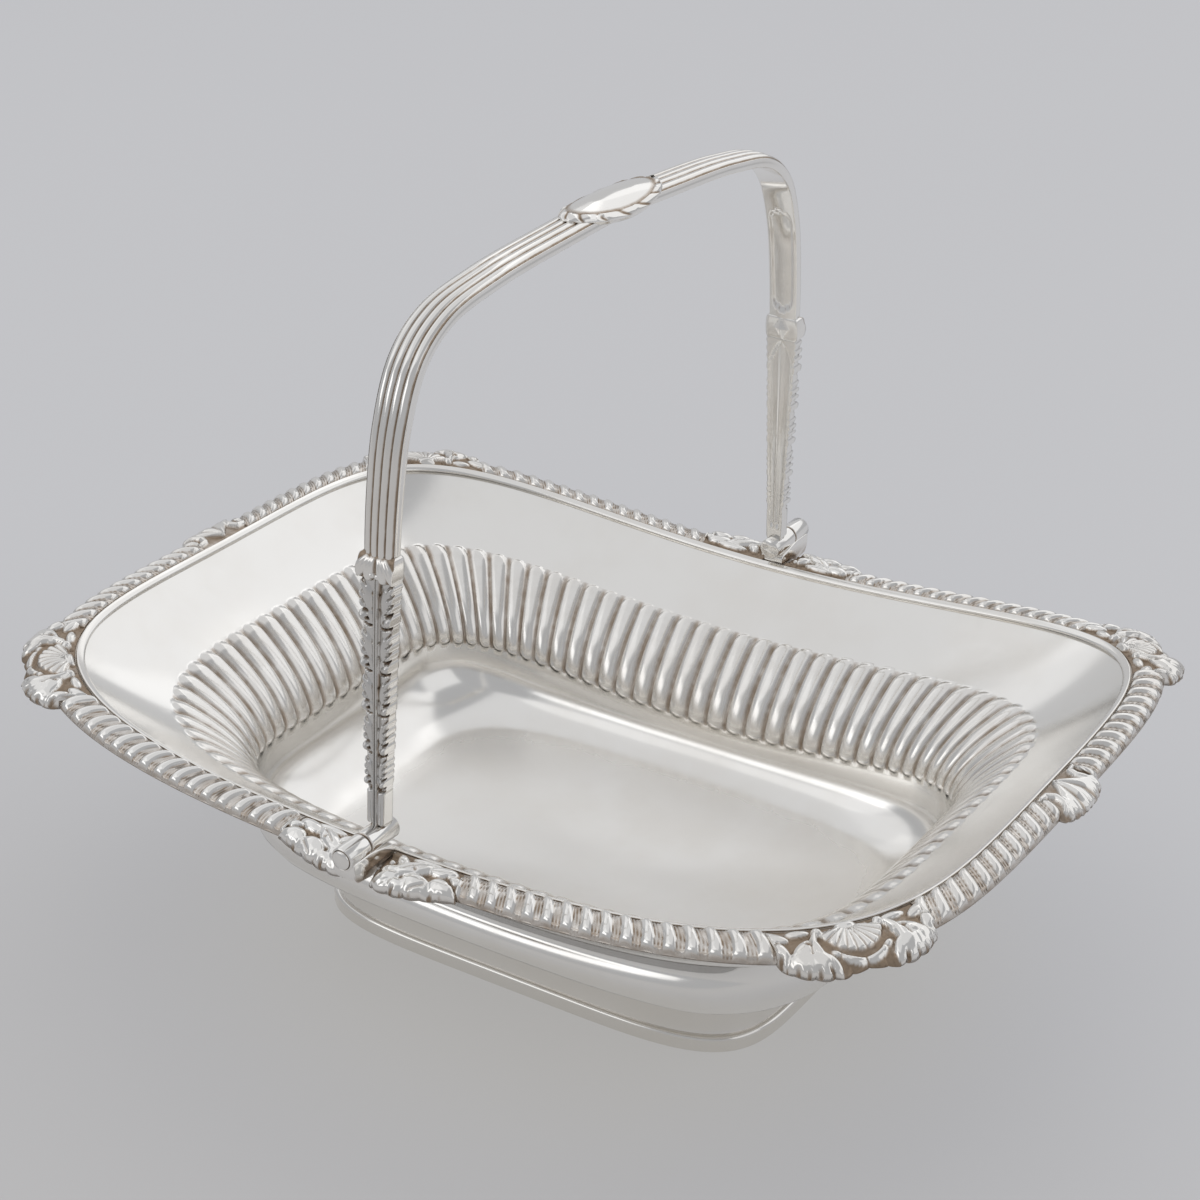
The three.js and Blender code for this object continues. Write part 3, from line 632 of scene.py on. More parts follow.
def gadroons(start, lean, fit):
    """The relief of slanted lobes with two reeds between each pair."""
    def relief(length, outset, share):
        square = length + outset * drift(length)
        turn = (square - start) / fit - lean * (SLANT * share - SLANT_CURVE * share * share) + 0.5
        fat = mix(LOBE_INSIDE, LOBE_OUTSIDE, share)
        place = (turn + fat / 2) % 1
        lobe = dome(place / fat * 2 - 1) * (place < fat)
        reed = dome((place - fat) / (1 - fat) * 2 % 1 * 2 - 1) * (place >= fat)
        ends = smooth(share, 0.0, 0.1) * dome(np.maximum(share - 0.93, 0) / 0.11)
        height = crown(share) + (LOBE_HEIGHT * lobe ** LOBE_SHAPE + REED_HEIGHT * reed) * ends
        line = 1 - smooth(lobe + 0.9 * reed, 0.15, 0.7)
        tarnish = np.maximum(line, (1.15 - 0.75 * reed) * (place >= fat))
        tarnish = mix(tarnish, 0.5, smooth(share, 0.985, 1.0))
        return height, np.maximum(tarnish, 0.5 * smooth(share, 0.06, 0.01))
    return relief


# Where the carvings lie along the rim: the corner shell from the end and from the side, the leaf
# from the hinge, and half the length of the small shell
SHELL_START, SHELL_STOP = 80.0, 124.0
LEAF_FAR, LEAF_NEAR = 30.0, 4.5
END_HALF = 12.0
OVERLAP, SHELL_OVERLAP = 0.4, 0.6
SHELL_END, FAR, NEAR = (RIM.quarter - back for back in (SHELL_STOP, LEAF_FAR, LEAF_NEAR))
CORNER_MIDDLE, CORNER_HALF = (SHELL_START + SHELL_END) / 2, (SHELL_END - SHELL_START) / 2
QUARTERS = ["back_right", "back_left", "front_left", "front_right"]

# How far the carvings reach beyond the ground, and the pitch of the scallops in their edges
CORNER_EXTRA, CORNER_SCALLOP, CORNER_HOLLOW = 7.0, 4.6, 0.42
LEAF_EXTRA, LEAF_SCALLOP, LEAF_SHIFT = 7.4, 4.8, 0.8
END_EXTRA, END_SCALLOP = 4.2, 2.6
RUN_INSET, HOLLOW_SPREAD = 0.4, 7.0
NOTCH_DEPTH, NOTCH_SHAPE = 0.9, 0.6

# Columns and rows of the strips
LOBE_COLUMNS, RUN_ROWS = 12, 14
CORNER_GRID, LEAF_GRID, END_GRID = (150, 44), (72, 44), (72, 36)


def shell_swell(part):
    return np.cos(part * math.pi / 2) ** 0.4


def leaf_swell(part):
    return np.sin(math.pi * (0.05 + 0.76 * part)) ** 0.5 * (0.3 + 0.7 * part)


def notches(length, pitch):
    return NOTCH_DEPTH * (1 - np.abs(np.sin(math.pi * length / pitch)) ** NOTCH_SHAPE)


def run_width(length):
    return np.full(np.shape(length), BORDER_WIDTH - RUN_INSET)


def shell_width(middle, half, extra, pitch, hollow=0.0):
    def width(length):
        off = length - middle
        swell = shell_swell(np.clip(off / half, -1, 1)) * (1 - hollow * np.exp(-(off / HOLLOW_SPREAD) ** 2))
        return BORDER_WIDTH + (extra - notches(off, pitch)) * swell
    return width


def leaf_width(length):
    swell = leaf_swell(ramp(length, FAR, NEAR))
    return BORDER_WIDTH + (LEAF_EXTRA - notches(length - FAR - LEAF_SHIFT, LEAF_SCALLOP)) * swell


# Lobes by their spot, half length, half width, turn and height, and cuts by their start and end.
# The corner's are measured from its middle and the leaf's from its far end.
FAN_RADIUS, FAN_RIBS, BRIM_RADIUS = 9.3, 11.4, 11.2
CORNER_LOBES = [
    ((8.4, 2.6), 1.5, 1.4, 0, 2.0), ((12.4, 13.0), 5.6, 4.2, -14, 2.7), ((14.0, 9.4), 5.6, 3.0, 40, 2.3),
    ((16.4, 12.4), 3.6, 3.4, 0, 2.4), ((22.4, 8.6), 4.4, 4.0, -22, 2.3),
    ((21.0, 3.6), 4.6, 1.9, -14, 1.7), ((13.4, 2.2), 3.6, 1.3, 6, 1.3),
]
CORNER_CURL = [(9.6, 3.6), (11.2, 6.6), (10.8, 10.2), (9.0, 13.2)]
CORNER_SLITS = [
    ((10.2, 13.2), (8.9, 18.0)), ((13.0, 13.6), (12.6, 18.0)), ((15.4, 13.4), (15.8, 18.0)),
    ((17.6, 12.4), (18.8, 17.0)), ((20.4, 9.4), (23.0, 14.4)), ((23.6, 7.0), (26.6, 11.4)),
]
CORNER_VEINS = [((11.4, 5.0), (13.2, 10.6)), ((19.4, 5.0), (22.6, 8.6))]
HINGE_LOBES = [
    ((15.4, 6.8), 7.0, 2.6, 30, 2.6), ((12.6, 12.2), 5.0, 3.9, 14, 2.7), ((18.4, 14.0), 5.4, 2.4, 16, 2.2),
    ((4.6, 10.4), 4.6, 3.6, -12, 2.5), ((6.4, 4.0), 5.0, 2.3, 16, 2.2), ((12.4, 2.2), 6.0, 1.4, 3, 1.6),
    ((2.0, 5.6), 2.4, 1.8, 0, 1.5), ((21.6, 12.6), 4.6, 2.0, 34, 2.3), ((20.2, 4.6), 2.9, 1.9, -40, 2.0),
    ((20.8, 9.6), 3.6, 1.5, 22, 2.0),
]
HINGE_SLITS = [
    ((10.4, 13.2), (9.4, 18.0)), ((13.0, 13.8), (12.8, 18.4)), ((15.6, 14.0), (16.0, 18.4)),
    ((18.2, 13.8), (19.2, 18.0)), ((4.6, 11.2), (3.2, 16.0)), ((7.0, 11.6), (7.2, 16.0)),
    ((5.2, 5.2), (2.4, 7.6)),
]
HINGE_VEINS = [((19.0, 9.6), (12.0, 4.4)), ((14.6, 14.6), (9.6, 11.0))]
END_RIBS = 5.2
END_SCROLL = [(11.6, 2.0), (8.6, 2.4), (7.4, 5.2), (8.2, 8.6), (10.6, 10.0)]
SLIT_DEPTH, VEIN_WIDTH = 1.8, 0.3


def corner_relief(length, outset, share):
    """A fan shell between scrolls and acanthus leaves."""
    x, y = np.abs(length - CORNER_MIDDLE), outset
    swell = shell_swell(np.clip(x / CORNER_HALF, 0, 1))
    bearing, reach = np.arctan2(length - CORNER_MIDDLE, outset - 1.0), np.hypot(x, outset - 1.0)
    fan = smooth(reach, FAN_RADIUS, FAN_RADIUS - 0.5) * smooth(np.abs(bearing), 1.36, 1.28)
    ribs = np.abs(np.cos(bearing * FAN_RIBS)) ** 0.7
    bowed = 1.5 - 0.02 * (reach - 5.0) ** 2
    shell = fan * (bowed + 0.7 * (ribs - 1) * smooth(reach, 0.6, 3.0))
    petals = np.abs(np.sin(bearing * FAN_RIBS / 2)) ** 0.5
    brim = dome((reach - BRIM_RADIUS - 0.4 * petals) / 0.95) * smooth(np.abs(bearing), 0.85, 0.6)
    brim *= 1.3 * (0.3 + 0.7 * petals)
    hinge = pad(x, y, (0.0, 1.2), 3.0, 1.4, 0, 1.9)
    slits, veins = cuts(x, y, CORNER_SLITS), cuts(x, y, CORNER_VEINS, VEIN_WIDTH)
    eyelet = bead(x, y, (12.9, 7.4), 0.9, 1.0) + bead(x, y, (6.4, 1.5), 0.9, 1.0)
    leaf = highest(pads(x, y, CORNER_LOBES), ridge(x, y, CORNER_CURL, 2.6, 2.1))
    leaf = np.maximum(leaf - SLIT_DEPTH * slits - 0.5 * veins, 0)
    carved = highest(shell, brim, hinge, leaf) - 0.9 * eyelet
    height = crown(share, 0.5 * swell) - 0.4 * swell + carved * smooth(share, 0.0, 0.06)
    bare = 1 - smooth(highest(leaf, brim, hinge), 0.25, 1.0)
    shade = mix(0.9, 0.62 - 0.5 * smooth(ribs, 0.15, 0.8), fan)
    return height, highest(bare * shade, 0.95 * slits, 0.5 * veins, eyelet)


def leaf_relief(length, outset, share):
    """Acanthus that springs from the hinge bracket and droops over the edge."""
    x, y = length - FAR, outset
    swell = leaf_swell(ramp(length, FAR, NEAR))
    hollow = smooth(x, 21.2, 22.2) * smooth(y - 0.5 * (x - 22), 8.8, 7.8) * smooth(y, 2.2, 3.2)
    stud = bead(x, y, (23.6, 5.4), 0.9, 1.0)
    slits, veins = cuts(x, y, HINGE_SLITS), cuts(x, y, HINGE_VEINS, VEIN_WIDTH)
    eyes = bead(x, y, (9.4, 7.4), 1.0, 1.0) + bead(x, y, (14.4, 7.6), 0.7, 0.8)
    top = pads(x, y, HINGE_LOBES) * (1 - hollow)
    top = np.maximum(top - SLIT_DEPTH * slits - 0.6 * veins - 0.8 * eyes, 0) + stud
    bare = 1 - smooth(top, 0.3, 1.2)
    tarnish = highest(0.95 * bare, 0.95 * slits, 0.5 * veins, eyes, 0.7 * hollow)
    height = crown(share, 0.4 * swell) - 0.9 * hollow + top * smooth(share, 0.0, 0.06)
    return height, tarnish - 0.8 * (stud > 0.3)


def end_relief(length, outset, share):
    """A small shell over the middle of an end, between two scrolls."""
    x, y = np.abs(length), outset
    swell = np.cos(np.clip(x / END_HALF, 0, 1) * math.pi / 2)
    bearing, reach = np.arctan2(length, outset - 0.6), np.hypot(length, outset - 0.6)
    ribs = np.abs(np.cos(bearing * END_RIBS)) ** 0.8
    fan = smooth(np.abs(bearing), 1.0, 0.8) * smooth(reach, 14.6, 13.0)
    shell = fan * (0.4 + 1.1 * ribs)
    scroll = ridge(x, y, END_SCROLL, 2.6, 1.8)
    tongue = petal(x, y, (6.6, 4.6), (9.4, 12.6), 3.6, 1.9)
    top = highest(shell, scroll, tongue)
    tarnish = 0.75 - 0.75 * smooth(np.maximum(top, 0), 0.4, 1.3)
    return crown(share, 0.4 * swell) + top * smooth(share, 0.0, 0.06), tarnish


def make_border():
    corner_width = shell_width(CORNER_MIDDLE, CORNER_HALF, CORNER_EXTRA, CORNER_SCALLOP, CORNER_HOLLOW)
    end_width = shell_width(0, END_HALF, END_EXTRA, END_SCALLOP)
    runs = [("end", END_HALF - OVERLAP, SHELL_START + SHELL_OVERLAP, 1.0),
            ("side", SHELL_END - SHELL_OVERLAP, FAR + OVERLAP, -1.0)]
    for quarter, name in enumerate(QUARTERS):
        for kind, start, stop, lean in runs:
            lobes = round((stop - start) / PITCH)
            relief_strip(f"{kind}_gadroon_run", f"{kind}_gadroons", quarter, name, (start, stop),
                         (lobes * LOBE_COLUMNS, RUN_ROWS), run_width,
                         gadroons(start, lean, (stop - start) / lobes))
        relief_strip("corner_shell_carving", "corner_shell", quarter, name,
                     (SHELL_START, SHELL_END), CORNER_GRID, corner_width, corner_relief)
        relief_strip("hinge_leaf_carving", "hinge_leaf", quarter, name,
                     (FAR, NEAR), LEAF_GRID, leaf_width, leaf_relief)
    for quarter, name in ((0, "right"), (1, "left")):
        relief_strip("end_shell_carving", "end_shell", quarter, name,
                     (-END_HALF, END_HALF), END_GRID, end_width, end_relief)


# Hinge

HINGE_HEIGHT = 92.4
KNUCKLE_RADIUS = 3.8
KNUCKLE_INNER, KNUCKLE_SPLIT, KNUCKLE_OUTER = 113.8, 127.5, 137.4
SPLIT_GAP, SPLIT_EDGE, SPLIT_SHADE, SPLIT_BEVEL = 0.15, 0.45, 0.9, 0.35
BORE, BORE_DEPTH = 3.1, 0.5
PIN_RADIUS = 2.95
SPIN_STEPS = 48
BRACKET_WIDTH = 7.6
BRACKET_BEVEL, BRACKET_SHARP, BRACKET_FACE = 0.45, 50, 3.4


def turned(bm, profile):
    """Spins a profile of radius, distance and tarnish round the hinge line."""
    layer = tarnish_layer(bm)
    line = [bm.verts.new((0, reach, HINGE_HEIGHT + radius)) for radius, reach, _ in profile]
    for vert, (_, _, tarnish) in zip(line, profile):
        vert[layer] = tarnish
    edges = [bm.edges.new(pair) for pair in zip(line, line[1:])]
    bmesh.ops.spin(bm, geom=line + edges, cent=(0, 0, HINGE_HEIGHT), axis=(0, 1, 0), angle=math.tau,
                   steps=SPIN_STEPS, use_merge=True)
    weld(bm)


def to_side(bm, side):
    if side < 0:
        bmesh.ops.rotate(bm, verts=bm.verts[:], matrix=Matrix.Rotation(math.pi, 3, "Z"))


def turned_parts():
    """The barrels and the pin of a hinge: piece, node, body and profile."""
    radius, inner, split, outer = KNUCKLE_RADIUS, KNUCKLE_INNER, KNUCKLE_SPLIT, KNUCKLE_OUTER
    near = [(0, SPLIT_GAP, 1), (radius - SPLIT_BEVEL, SPLIT_GAP, 0.9), (radius, SPLIT_EDGE, 0.4),
            (radius, SPLIT_SHADE, 0)]
    fixed = [(width, split + off, tarnish) for width, off, tarnish in near]
    moving = [(width, split - off, tarnish) for width, off, tarnish in reversed(near)]
    fixed += [(radius, outer - BORE_DEPTH, 0), (radius - 0.3, outer, 0), (BORE + 0.15, outer, 0.3),
              (BORE, outer - BORE_DEPTH, 1), (0, outer - BORE_DEPTH, 1)]
    pin = [(0, outer - 1.6, 0), (2.8, outer - 1.6, 1), (PIN_RADIUS, outer - 0.3, 0.7),
           (PIN_RADIUS, outer + 0.3, 0.1), (2.6, outer + 0.62, 0), (0, outer + 0.75, 0)]
    moving = [(0, inner, 0), (radius - 0.5, inner, 0), (radius, inner + 0.5, 0)] + moving
    return [("fixed_barrel", "fixed_knuckle", "basket", fixed), ("pin_end", "hinge_pin", "basket", pin),
            ("handle_barrel", "handle_knuckle", "handle", moving)]


def make_hinges():
    for side, name in ((1, "back"), (-1, "front")):
        for part, node, body, profile in turned_parts():
            bm = bmesh.new()
            turned(bm, profile)
            to_side(bm, side)
            piece(f"{part}_{name}", bm, body, PLAIN_SILVER, [f"{node}_{name}"])
        make_bracket(side, name)


def make_bracket(side, name):
    """A block that carries the fixed barrel, with an apron down over the border's edge."""
    inside, seat, outer = RIM.b + 0.2, RIM.side + 0.2, KNUCKLE_OUTER
    flange, top = inside + FLANGE_WIDTH, HINGE_HEIGHT - 1.2
    outline = [(inside + 0.4, top - 2.4), (inside, seat), (flange, seat + FLANGE_RISE),
               (flange + 2.2, seat - 2.2), (outer - 2.6, seat - 1.2), (outer - 1.0, seat + 1.4),
               (outer - 0.7, top), (KNUCKLE_SPLIT + 0.4, top)]
    bm = bmesh.new()
    layer = tarnish_layer(bm)
    made = [bm.verts.new((-BRACKET_WIDTH / 2, reach, height)) for reach, height in eased(outline, 3, 1.0)]
    pushed = bmesh.ops.extrude_face_region(bm, geom=[bm.faces.new(made)])["geom"]
    verts = [item for item in pushed if isinstance(item, bmesh.types.BMVert)]
    bmesh.ops.translate(bm, vec=(BRACKET_WIDTH, 0, 0), verts=verts)
    bmesh.ops.recalc_face_normals(bm, faces=bm.faces[:])
    rims = [edge for edge in bm.edges if abs(edge.verts[0].co.x - edge.verts[1].co.x) < 1e-6]
    bmesh.ops.bevel(bm, geom=rims, offset=BRACKET_BEVEL, segments=3, affect="EDGES", profile=0.5, material=-1)
    for vert in bm.verts:
        low = (vert.co.z - seat) / 3
        vert[layer] = 0.75 * max(0.0, 1 - abs(low)) if abs(vert.co.x) > BRACKET_FACE else 0.1
    to_side(bm, side)
    piece(f"bracket_{name}", bm, "basket", PLAIN_SILVER, [f"hinge_bracket_{name}"], BRACKET_SHARP)


# Handle

HANDLE_LEAN = math.radians(1.5)
HANDLE_LINE = [(119.2, 0), (117.8, 40), (116.2, 80), (114.1, 106), (110.2, 127), (102.6, 143.6),
               (90, 152.8), (66, 157.4), (30, 159.8), (0, 160.8)]
KNOT_STEPS = 40


def handle_line():
    """Points close together along the handle's middle line, from the front hinge to the back one."""
    front = [(-reach, height) for reach, height in HANDLE_LINE]
    knots = np.array(front + [(-y, z) for y, z in front[-2::-1]], float)
    knots = np.vstack([2 * knots[0] - knots[1], knots, 2 * knots[-1] - knots[-2]])
    out = []
    for p0, p1, p2, p3 in zip(knots, knots[1:], knots[2:], knots[3:]):
        d0, d1, d2 = (math.sqrt(math.dist(*pair)) for pair in ((p0, p1), (p1, p2), (p2, p3)))
        m1 = ((p1 - p0) / d0 - (p2 - p0) / (d0 + d1) + (p2 - p1) / d1) * d1
        m2 = ((p2 - p1) / d1 - (p3 - p1) / (d1 + d2) + (p3 - p2) / d2) * d1
        t = np.linspace(0, 1, KNOT_STEPS + 1)[:-1, None]
        out.append(p1 + m1 * t + (3 * (p2 - p1) - 2 * m1 - m2) * t ** 2 + (2 * (p1 - p2) + m1 + m2) * t ** 3)
    return np.vstack(out + [knots[-2:-1]])


LINE = handle_line()
LINE_LENGTHS = np.concatenate([[0], np.cumsum(np.hypot(*np.diff(LINE, axis=0).T))])
LINE_LENGTH = LINE_LENGTHS[-1]
HALF_HEIGHTS, HALF_LENGTHS = LINE[:len(LINE) // 2, 1], LINE_LENGTHS[:len(LINE) // 2]


def line_at(length):
    return np.stack([np.interp(length, LINE_LENGTHS, LINE[:, i]) for i in (0, 1)], -1)


def length_at_height(height):
    return float(np.interp(height, HALF_HEIGHTS, HALF_LENGTHS))


def height_of(length):
    """How high a length along the handle lies on its leg, front or back."""
    return np.interp(np.minimum(length, LINE_LENGTH - length), HALF_LENGTHS, HALF_HEIGHTS)


def leaned(x, y, z):
    """A point over the hinge line, turned by the handle's lean."""
    cos, sin = math.cos(HANDLE_LEAN), math.sin(HANDLE_LEAN)
    return np.stack([x * cos + z * sin, y, HINGE_HEIGHT - x * sin + z * cos], -1)


def handle_point(length, across, outward):
    """A point by its length along the handle, across it along X, and out of the arch."""
    here = line_at(length)
    ahead = line_at(np.minimum(length + 1.0, LINE_LENGTH)) - line_at(np.maximum(length - 1.0, 0))
    ahead /= np.hypot(ahead[:, 0], ahead[:, 1])[:, None]
    return leaned(across, here[:, 0] - ahead[:, 1] * outward, here[:, 1] + ahead[:, 0] * outward)


def handle_bar(name, node, material, span, size, section):
    """A closed section carried along the handle, with its ends filled. section(length, turn) gives
    the places across and outward and the tarnish, for a turn from 0 to 1 round the section."""
    def shape(across, along):
        length = mix(*span, across)
        side, out, tarnish = section(length, along % 1)
        return handle_point(length, side, out), tarnish

    sheet_piece(name, "handle", material, node, size, shape, filled=True)


# Round a bar's section: its carved face, one edge, the back and the other edge
FACE, EDGE = 0.6, 0.1
BAR_REAR = -2.4


def face_side(turn):
    """Where a turn lies across the face, from 1 to -1."""
    return np.where(turn < FACE, 1 - 2 * turn / FACE, np.where(turn < (1 + FACE) / 2, -1, 1))


def on_back(turn, face=FACE, edge=EDGE):
    return (turn > face + edge) & (turn < 1 - edge)


def bar_section(turn, half, front, rear, face=FACE, edge=EDGE):
    """Across and outward places of a bar whose carved front is front, and whose back is rear."""
    down, up = ramp(turn, face, face + edge), ramp(turn, 1 - edge, 1)
    back = ramp(turn, face + edge, 1 - edge)
    parts = [turn < face, turn < face + edge, turn >= 1 - edge]
    across = np.select(parts, [(1 - 2 * turn / face) * half, -half, half], mix(-half, half, back))
    return across, np.select(parts, [front, mix(front, rear, down), mix(rear, front, up)], rear)


# The carving of a leg. Each leaf is drawn 5 wide and 14 high and stretched to its place.
LEG_LEAVES = [15.7, 26.5, 39.5, 53.0, 67.5, 83.0]
LEG_ENDS = (2.9, 83.4)
LEG_GRID = (300, 100)
LEG_HALF_LOW, LEG_HALF_HIGH = 2.9, 5.9
LEG_FRONT = 0.75
LEAF_DRAWN_WIDE, LEAF_DRAWN_HIGH = 5, 14
LEG_LOBES = [
    ((2.9, 8.6), 5.6, 2.3, 82, 2.0, 0.7), ((2.2, 3.4), 2.6, 1.4, 80, 1.6), ((4.3, 6.2), 1.7, 0.9, 50, 2.2),
    ((4.3, 8.8), 1.7, 0.9, 52, 2.2), ((4.0, 11.4), 1.8, 0.9, 58, 2.1), ((4.0, 2.9), 2.0, 1.5, 34, 2.7),
]
LEG_SLITS = [((3.3, 6.2), (5.4, 8.0)), ((3.2, 8.9), (5.3, 10.7)), ((2.9, 11.4), (4.6, 13.6))]
LEG_CREVICES = [((2.3, 4.2), (5.6, 5.7)), ((1.0, 0.3), (2.8, 0.5)), ((2.8, 0.5), (5.4, 1.5))]
STEM_HALF = 0.8


def leg_carving(across, height, half):
    """Acanthus leaves, one above another, up both sides of a double rib."""
    group = np.clip(np.searchsorted(LEG_LEAVES, height) - 1, 0, len(LEG_LEAVES) - 2)
    low, high = np.take(LEG_LEAVES, group), np.take(LEG_LEAVES, group + 1)
    flat, first = np.abs(across), LEG_LEAVES[0]
    x, y = flat / half * LEAF_DRAWN_WIDE, (height - low) / (high - low) * LEAF_DRAWN_HIGH
    slits, crevice = cuts(x, y, LEG_SLITS, 0.2), cuts(x, y, LEG_CREVICES, 0.36)
    notched = sum(bead(x, y, (1.05, at), 0.42, 1.0) for at in (5.4, 9.6))
    eyes = bead(x, y, (2.7, 2.5), 0.6, 1.0)
    gaps = highest(crevice, eyes, 0.6 * notched, 0.35 * slits)
    swollen = np.maximum(pads(x, y, LEG_LOBES), 1.15 * dome((x - 2.9) / 2.3))
    above = smooth(height, first - 0.1, first + 0.1)
    leaves = above * np.maximum(swollen - 1.9 * crevice - 0.9 * slits - 1.2 * (eyes + notched), 0)
    tongue = 1.9 * dome((flat - 1.9) / 1.5) * smooth(height, first - 0.2, 14.6) * smooth(height, 3.0, 4.4)
    stem = 1.9 * dome((flat - 0.42) / 0.36) + 0.2
    top = highest(leaves, tongue, stem * (flat < STEM_HALF))
    bare = 0.9 - 0.9 * smooth(np.maximum(leaves, tongue), 0.2, 0.9)
    tarnish = np.where(flat < STEM_HALF, 1 - smooth(stem, 0.6, 1.5), np.maximum(bare, 1.4 * gaps * above))
    return top, tarnish


def leg_section(length, turn):
    """Leaves on the outside, and a sunk pointed panel with a rib down it on the inside."""
    height = height_of(length)
    half = mix(LEG_HALF_LOW, LEG_HALF_HIGH, ramp(height, 4, 82))
    side = face_side(turn)
    top, tarnish = leg_carving(side * half, height, half)
    edge_in = np.where(np.abs(side) > 0.93, -0.35 * (1 - smooth(top, 0.2, 1.4)), 0)
    across, out = bar_section(turn, half + edge_in, LEG_FRONT + top, BAR_REAR)
    back = on_back(turn)
    point = half * ramp(height, 82, 73) ** 0.6
    panel = smooth(np.abs(across), point - 1.0, point - 1.6) * smooth(height, 7, 10)
    spine = 0.5 * smooth(np.abs(across), 0.9, 0.3)
    out = np.where(back, out + (0.8 - spine) * panel, out)
    # On the face, tarnish of 0 and above keeps the leg's painted dark reflection; the values below 0 on the
    # back and the edges bring the plain bright silver back there
    return across, out, np.where(turn < FACE, tarnish, np.where(back, 0.3 * panel - 1, -0.8))


COLLAR_ENDS = (82.0, 90.4)
COLLAR_GRID = (48, 90)
COLLAR_LOW, COLLAR_HIGH = 82.2, 90.2
COLLAR_HALF, COLLAR_FRONT = 5.5, 1.3


def collar_section(length, turn):
    """A band of small folds above a leg, with a small gem on the inside."""
    height = height_of(length)
    share = ramp(height, COLLAR_LOW, COLLAR_HIGH)
    swell = dome(share * 2 - 1) ** 0.7
    half = COLLAR_HALF + 0.8 * swell
    side = np.abs(face_side(turn) * half)
    folds = highest(petal(side, height, (1.0, 89.6), (2.6, 81.6), 3.4, 1.5, 0.05),
                    petal(side, height, (2.6, 89.6), (6.6, 82.6), 3.6, 1.5, 0.05),
                    bead(side, height, (1.0, 84.2), 1.0, 1.6))
    across, out = bar_section(turn, half, COLLAR_FRONT + 1.6 * swell + folds * 0.75, BAR_REAR)
    gem = 1.1 * np.maximum(1 - np.abs(across) / 2.7 - np.abs(share * 2 - 1), 0)
    out = np.where(on_back(turn), out - 0.2 * swell - gem, out)
    return across, out, np.where(turn < FACE, 0.9 * (1 - smooth(folds, 0.1, 0.9)), 0.15)


ARCH_START = length_at_height(88.6)
ARCH_ENDS = (ARCH_START, LINE_LENGTH - ARCH_START)
ARCH_END_HALF, ARCH_HALF = 4.9, 5.9
ARCH_FRONT, ARCH_REAR = 1.35, -2.1
ARCH_FACE, ARCH_EDGE = 0.56, 0.1
ARCH_GRID = (320, 116)
REEDS, REED_RISE = 4, 1.15
PANEL_BOTTOM, PANEL_TOP, PANEL_INSET, PANEL_ROUND = 93.5, 131.0, 1.3, 3.2


def arch_panel(length, across, half):
    """The sunk panel inside each rise of the arch, with round ends."""
    near = np.minimum(length, LINE_LENGTH - length)
    into = np.minimum(near - length_at_height(PANEL_BOTTOM), length_at_height(PANEL_TOP) - near)
    reach = (half - PANEL_INSET) * dome(np.clip(1 - into / PANEL_ROUND, 0, 1))
    return smooth(np.abs(across), reach + 0.25, reach - 0.5) * (into > 0)


def arch_section(length, turn):
    """Reeds over the outside, rounded edges, and a rounded inside with two sunk panels."""
    half = mix(ARCH_END_HALF, ARCH_HALF, np.sin(math.pi * ramp(length, *ARCH_ENDS)) ** 0.7)
    side = np.where(turn < ARCH_FACE, 1 - 2 * turn / ARCH_FACE, 0)
    reed = dome((side * 0.5 + 0.5) * REEDS % 1 * 2 - 1)
    front = ARCH_FRONT - 0.75 * side ** 2 + REED_RISE * reed ** 0.8
    across, out = bar_section(turn, half, front, ARCH_REAR, ARCH_FACE, ARCH_EDGE)
    falling = (turn >= ARCH_FACE) & (turn < ARCH_FACE + ARCH_EDGE)
    rising = turn >= 1 - ARCH_EDGE
    down = np.select([falling, rising], [(turn - ARCH_FACE) / ARCH_EDGE, (1 - turn) / ARCH_EDGE], 0)
    bulge = 0.55 * dome(down * 2 - 1) - 0.3 * smooth(down, 0.0, 0.35) * smooth(down, 0.7, 0.35)
    across = across + np.sign(across) * np.where(falling | rising, bulge, 0)
    back, panel = on_back(turn, ARCH_FACE, ARCH_EDGE), arch_panel(length, across, half)
    out = np.where(back, out - 0.35 * (1 - (across / half) ** 2) + 0.8 * panel, out)
    grooves, edges = 1 - smooth(reed, 0.35, 0.9), panel * (1 - panel) * 4
    return across, out, np.select([turn < ARCH_FACE, back], [0.95 * grooves, 0.45 * edges + 0.1], 0.1)


def make_handle():
    parts = [("leaf_leg", "handle_leg", LEG_SILVER, LEG_ENDS, LEG_GRID, leg_section),
             ("leaf_collar", "leg_collar", CAST_SILVER, COLLAR_ENDS, COLLAR_GRID, collar_section)]
    for name in ("front", "back"):
        for part, node, material, ends, size, section in parts:
            low, high = map(length_at_height, ends)
            span = (low, high) if name == "front" else (LINE_LENGTH - high, LINE_LENGTH - low)
            handle_bar(f"{part}_{name}", f"{node}_{name}", material, span, size, section)
    handle_bar("reeded_arch", "handle_arch", HANDLE_SILVER, ARCH_ENDS, ARCH_GRID, arch_section)


OVAL_LENGTH, OVAL_WIDTH = 50.0, 19.0
OVAL_DRAPE, OVAL_SEAT = 0.036, 2.2
OVAL_GRID = (220, 50)
OVAL_ROUND, TIES = 15.5, 8

# From the underside over the ribbon to the middle: reaches and heights at shares of the way
OVAL_REACHES = [(0, 0), (0.2, 0.9), (0.34, 1.0), (0.48, 0.94), (0.62, 0.84), (0.8, 0.45), (1.0, 0)]
OVAL_HEIGHTS = [(0, -1.2), (0.2, -1.2), (0.34, 0.7), (0.62, 1.9), (0.8, 2.5), (1.0, 2.7)]
RIBBON_FROM, RIBBON_TO = 0.34, 0.62
RIBBON_MIDDLE, RIBBON_HALF = 0.48, 0.14


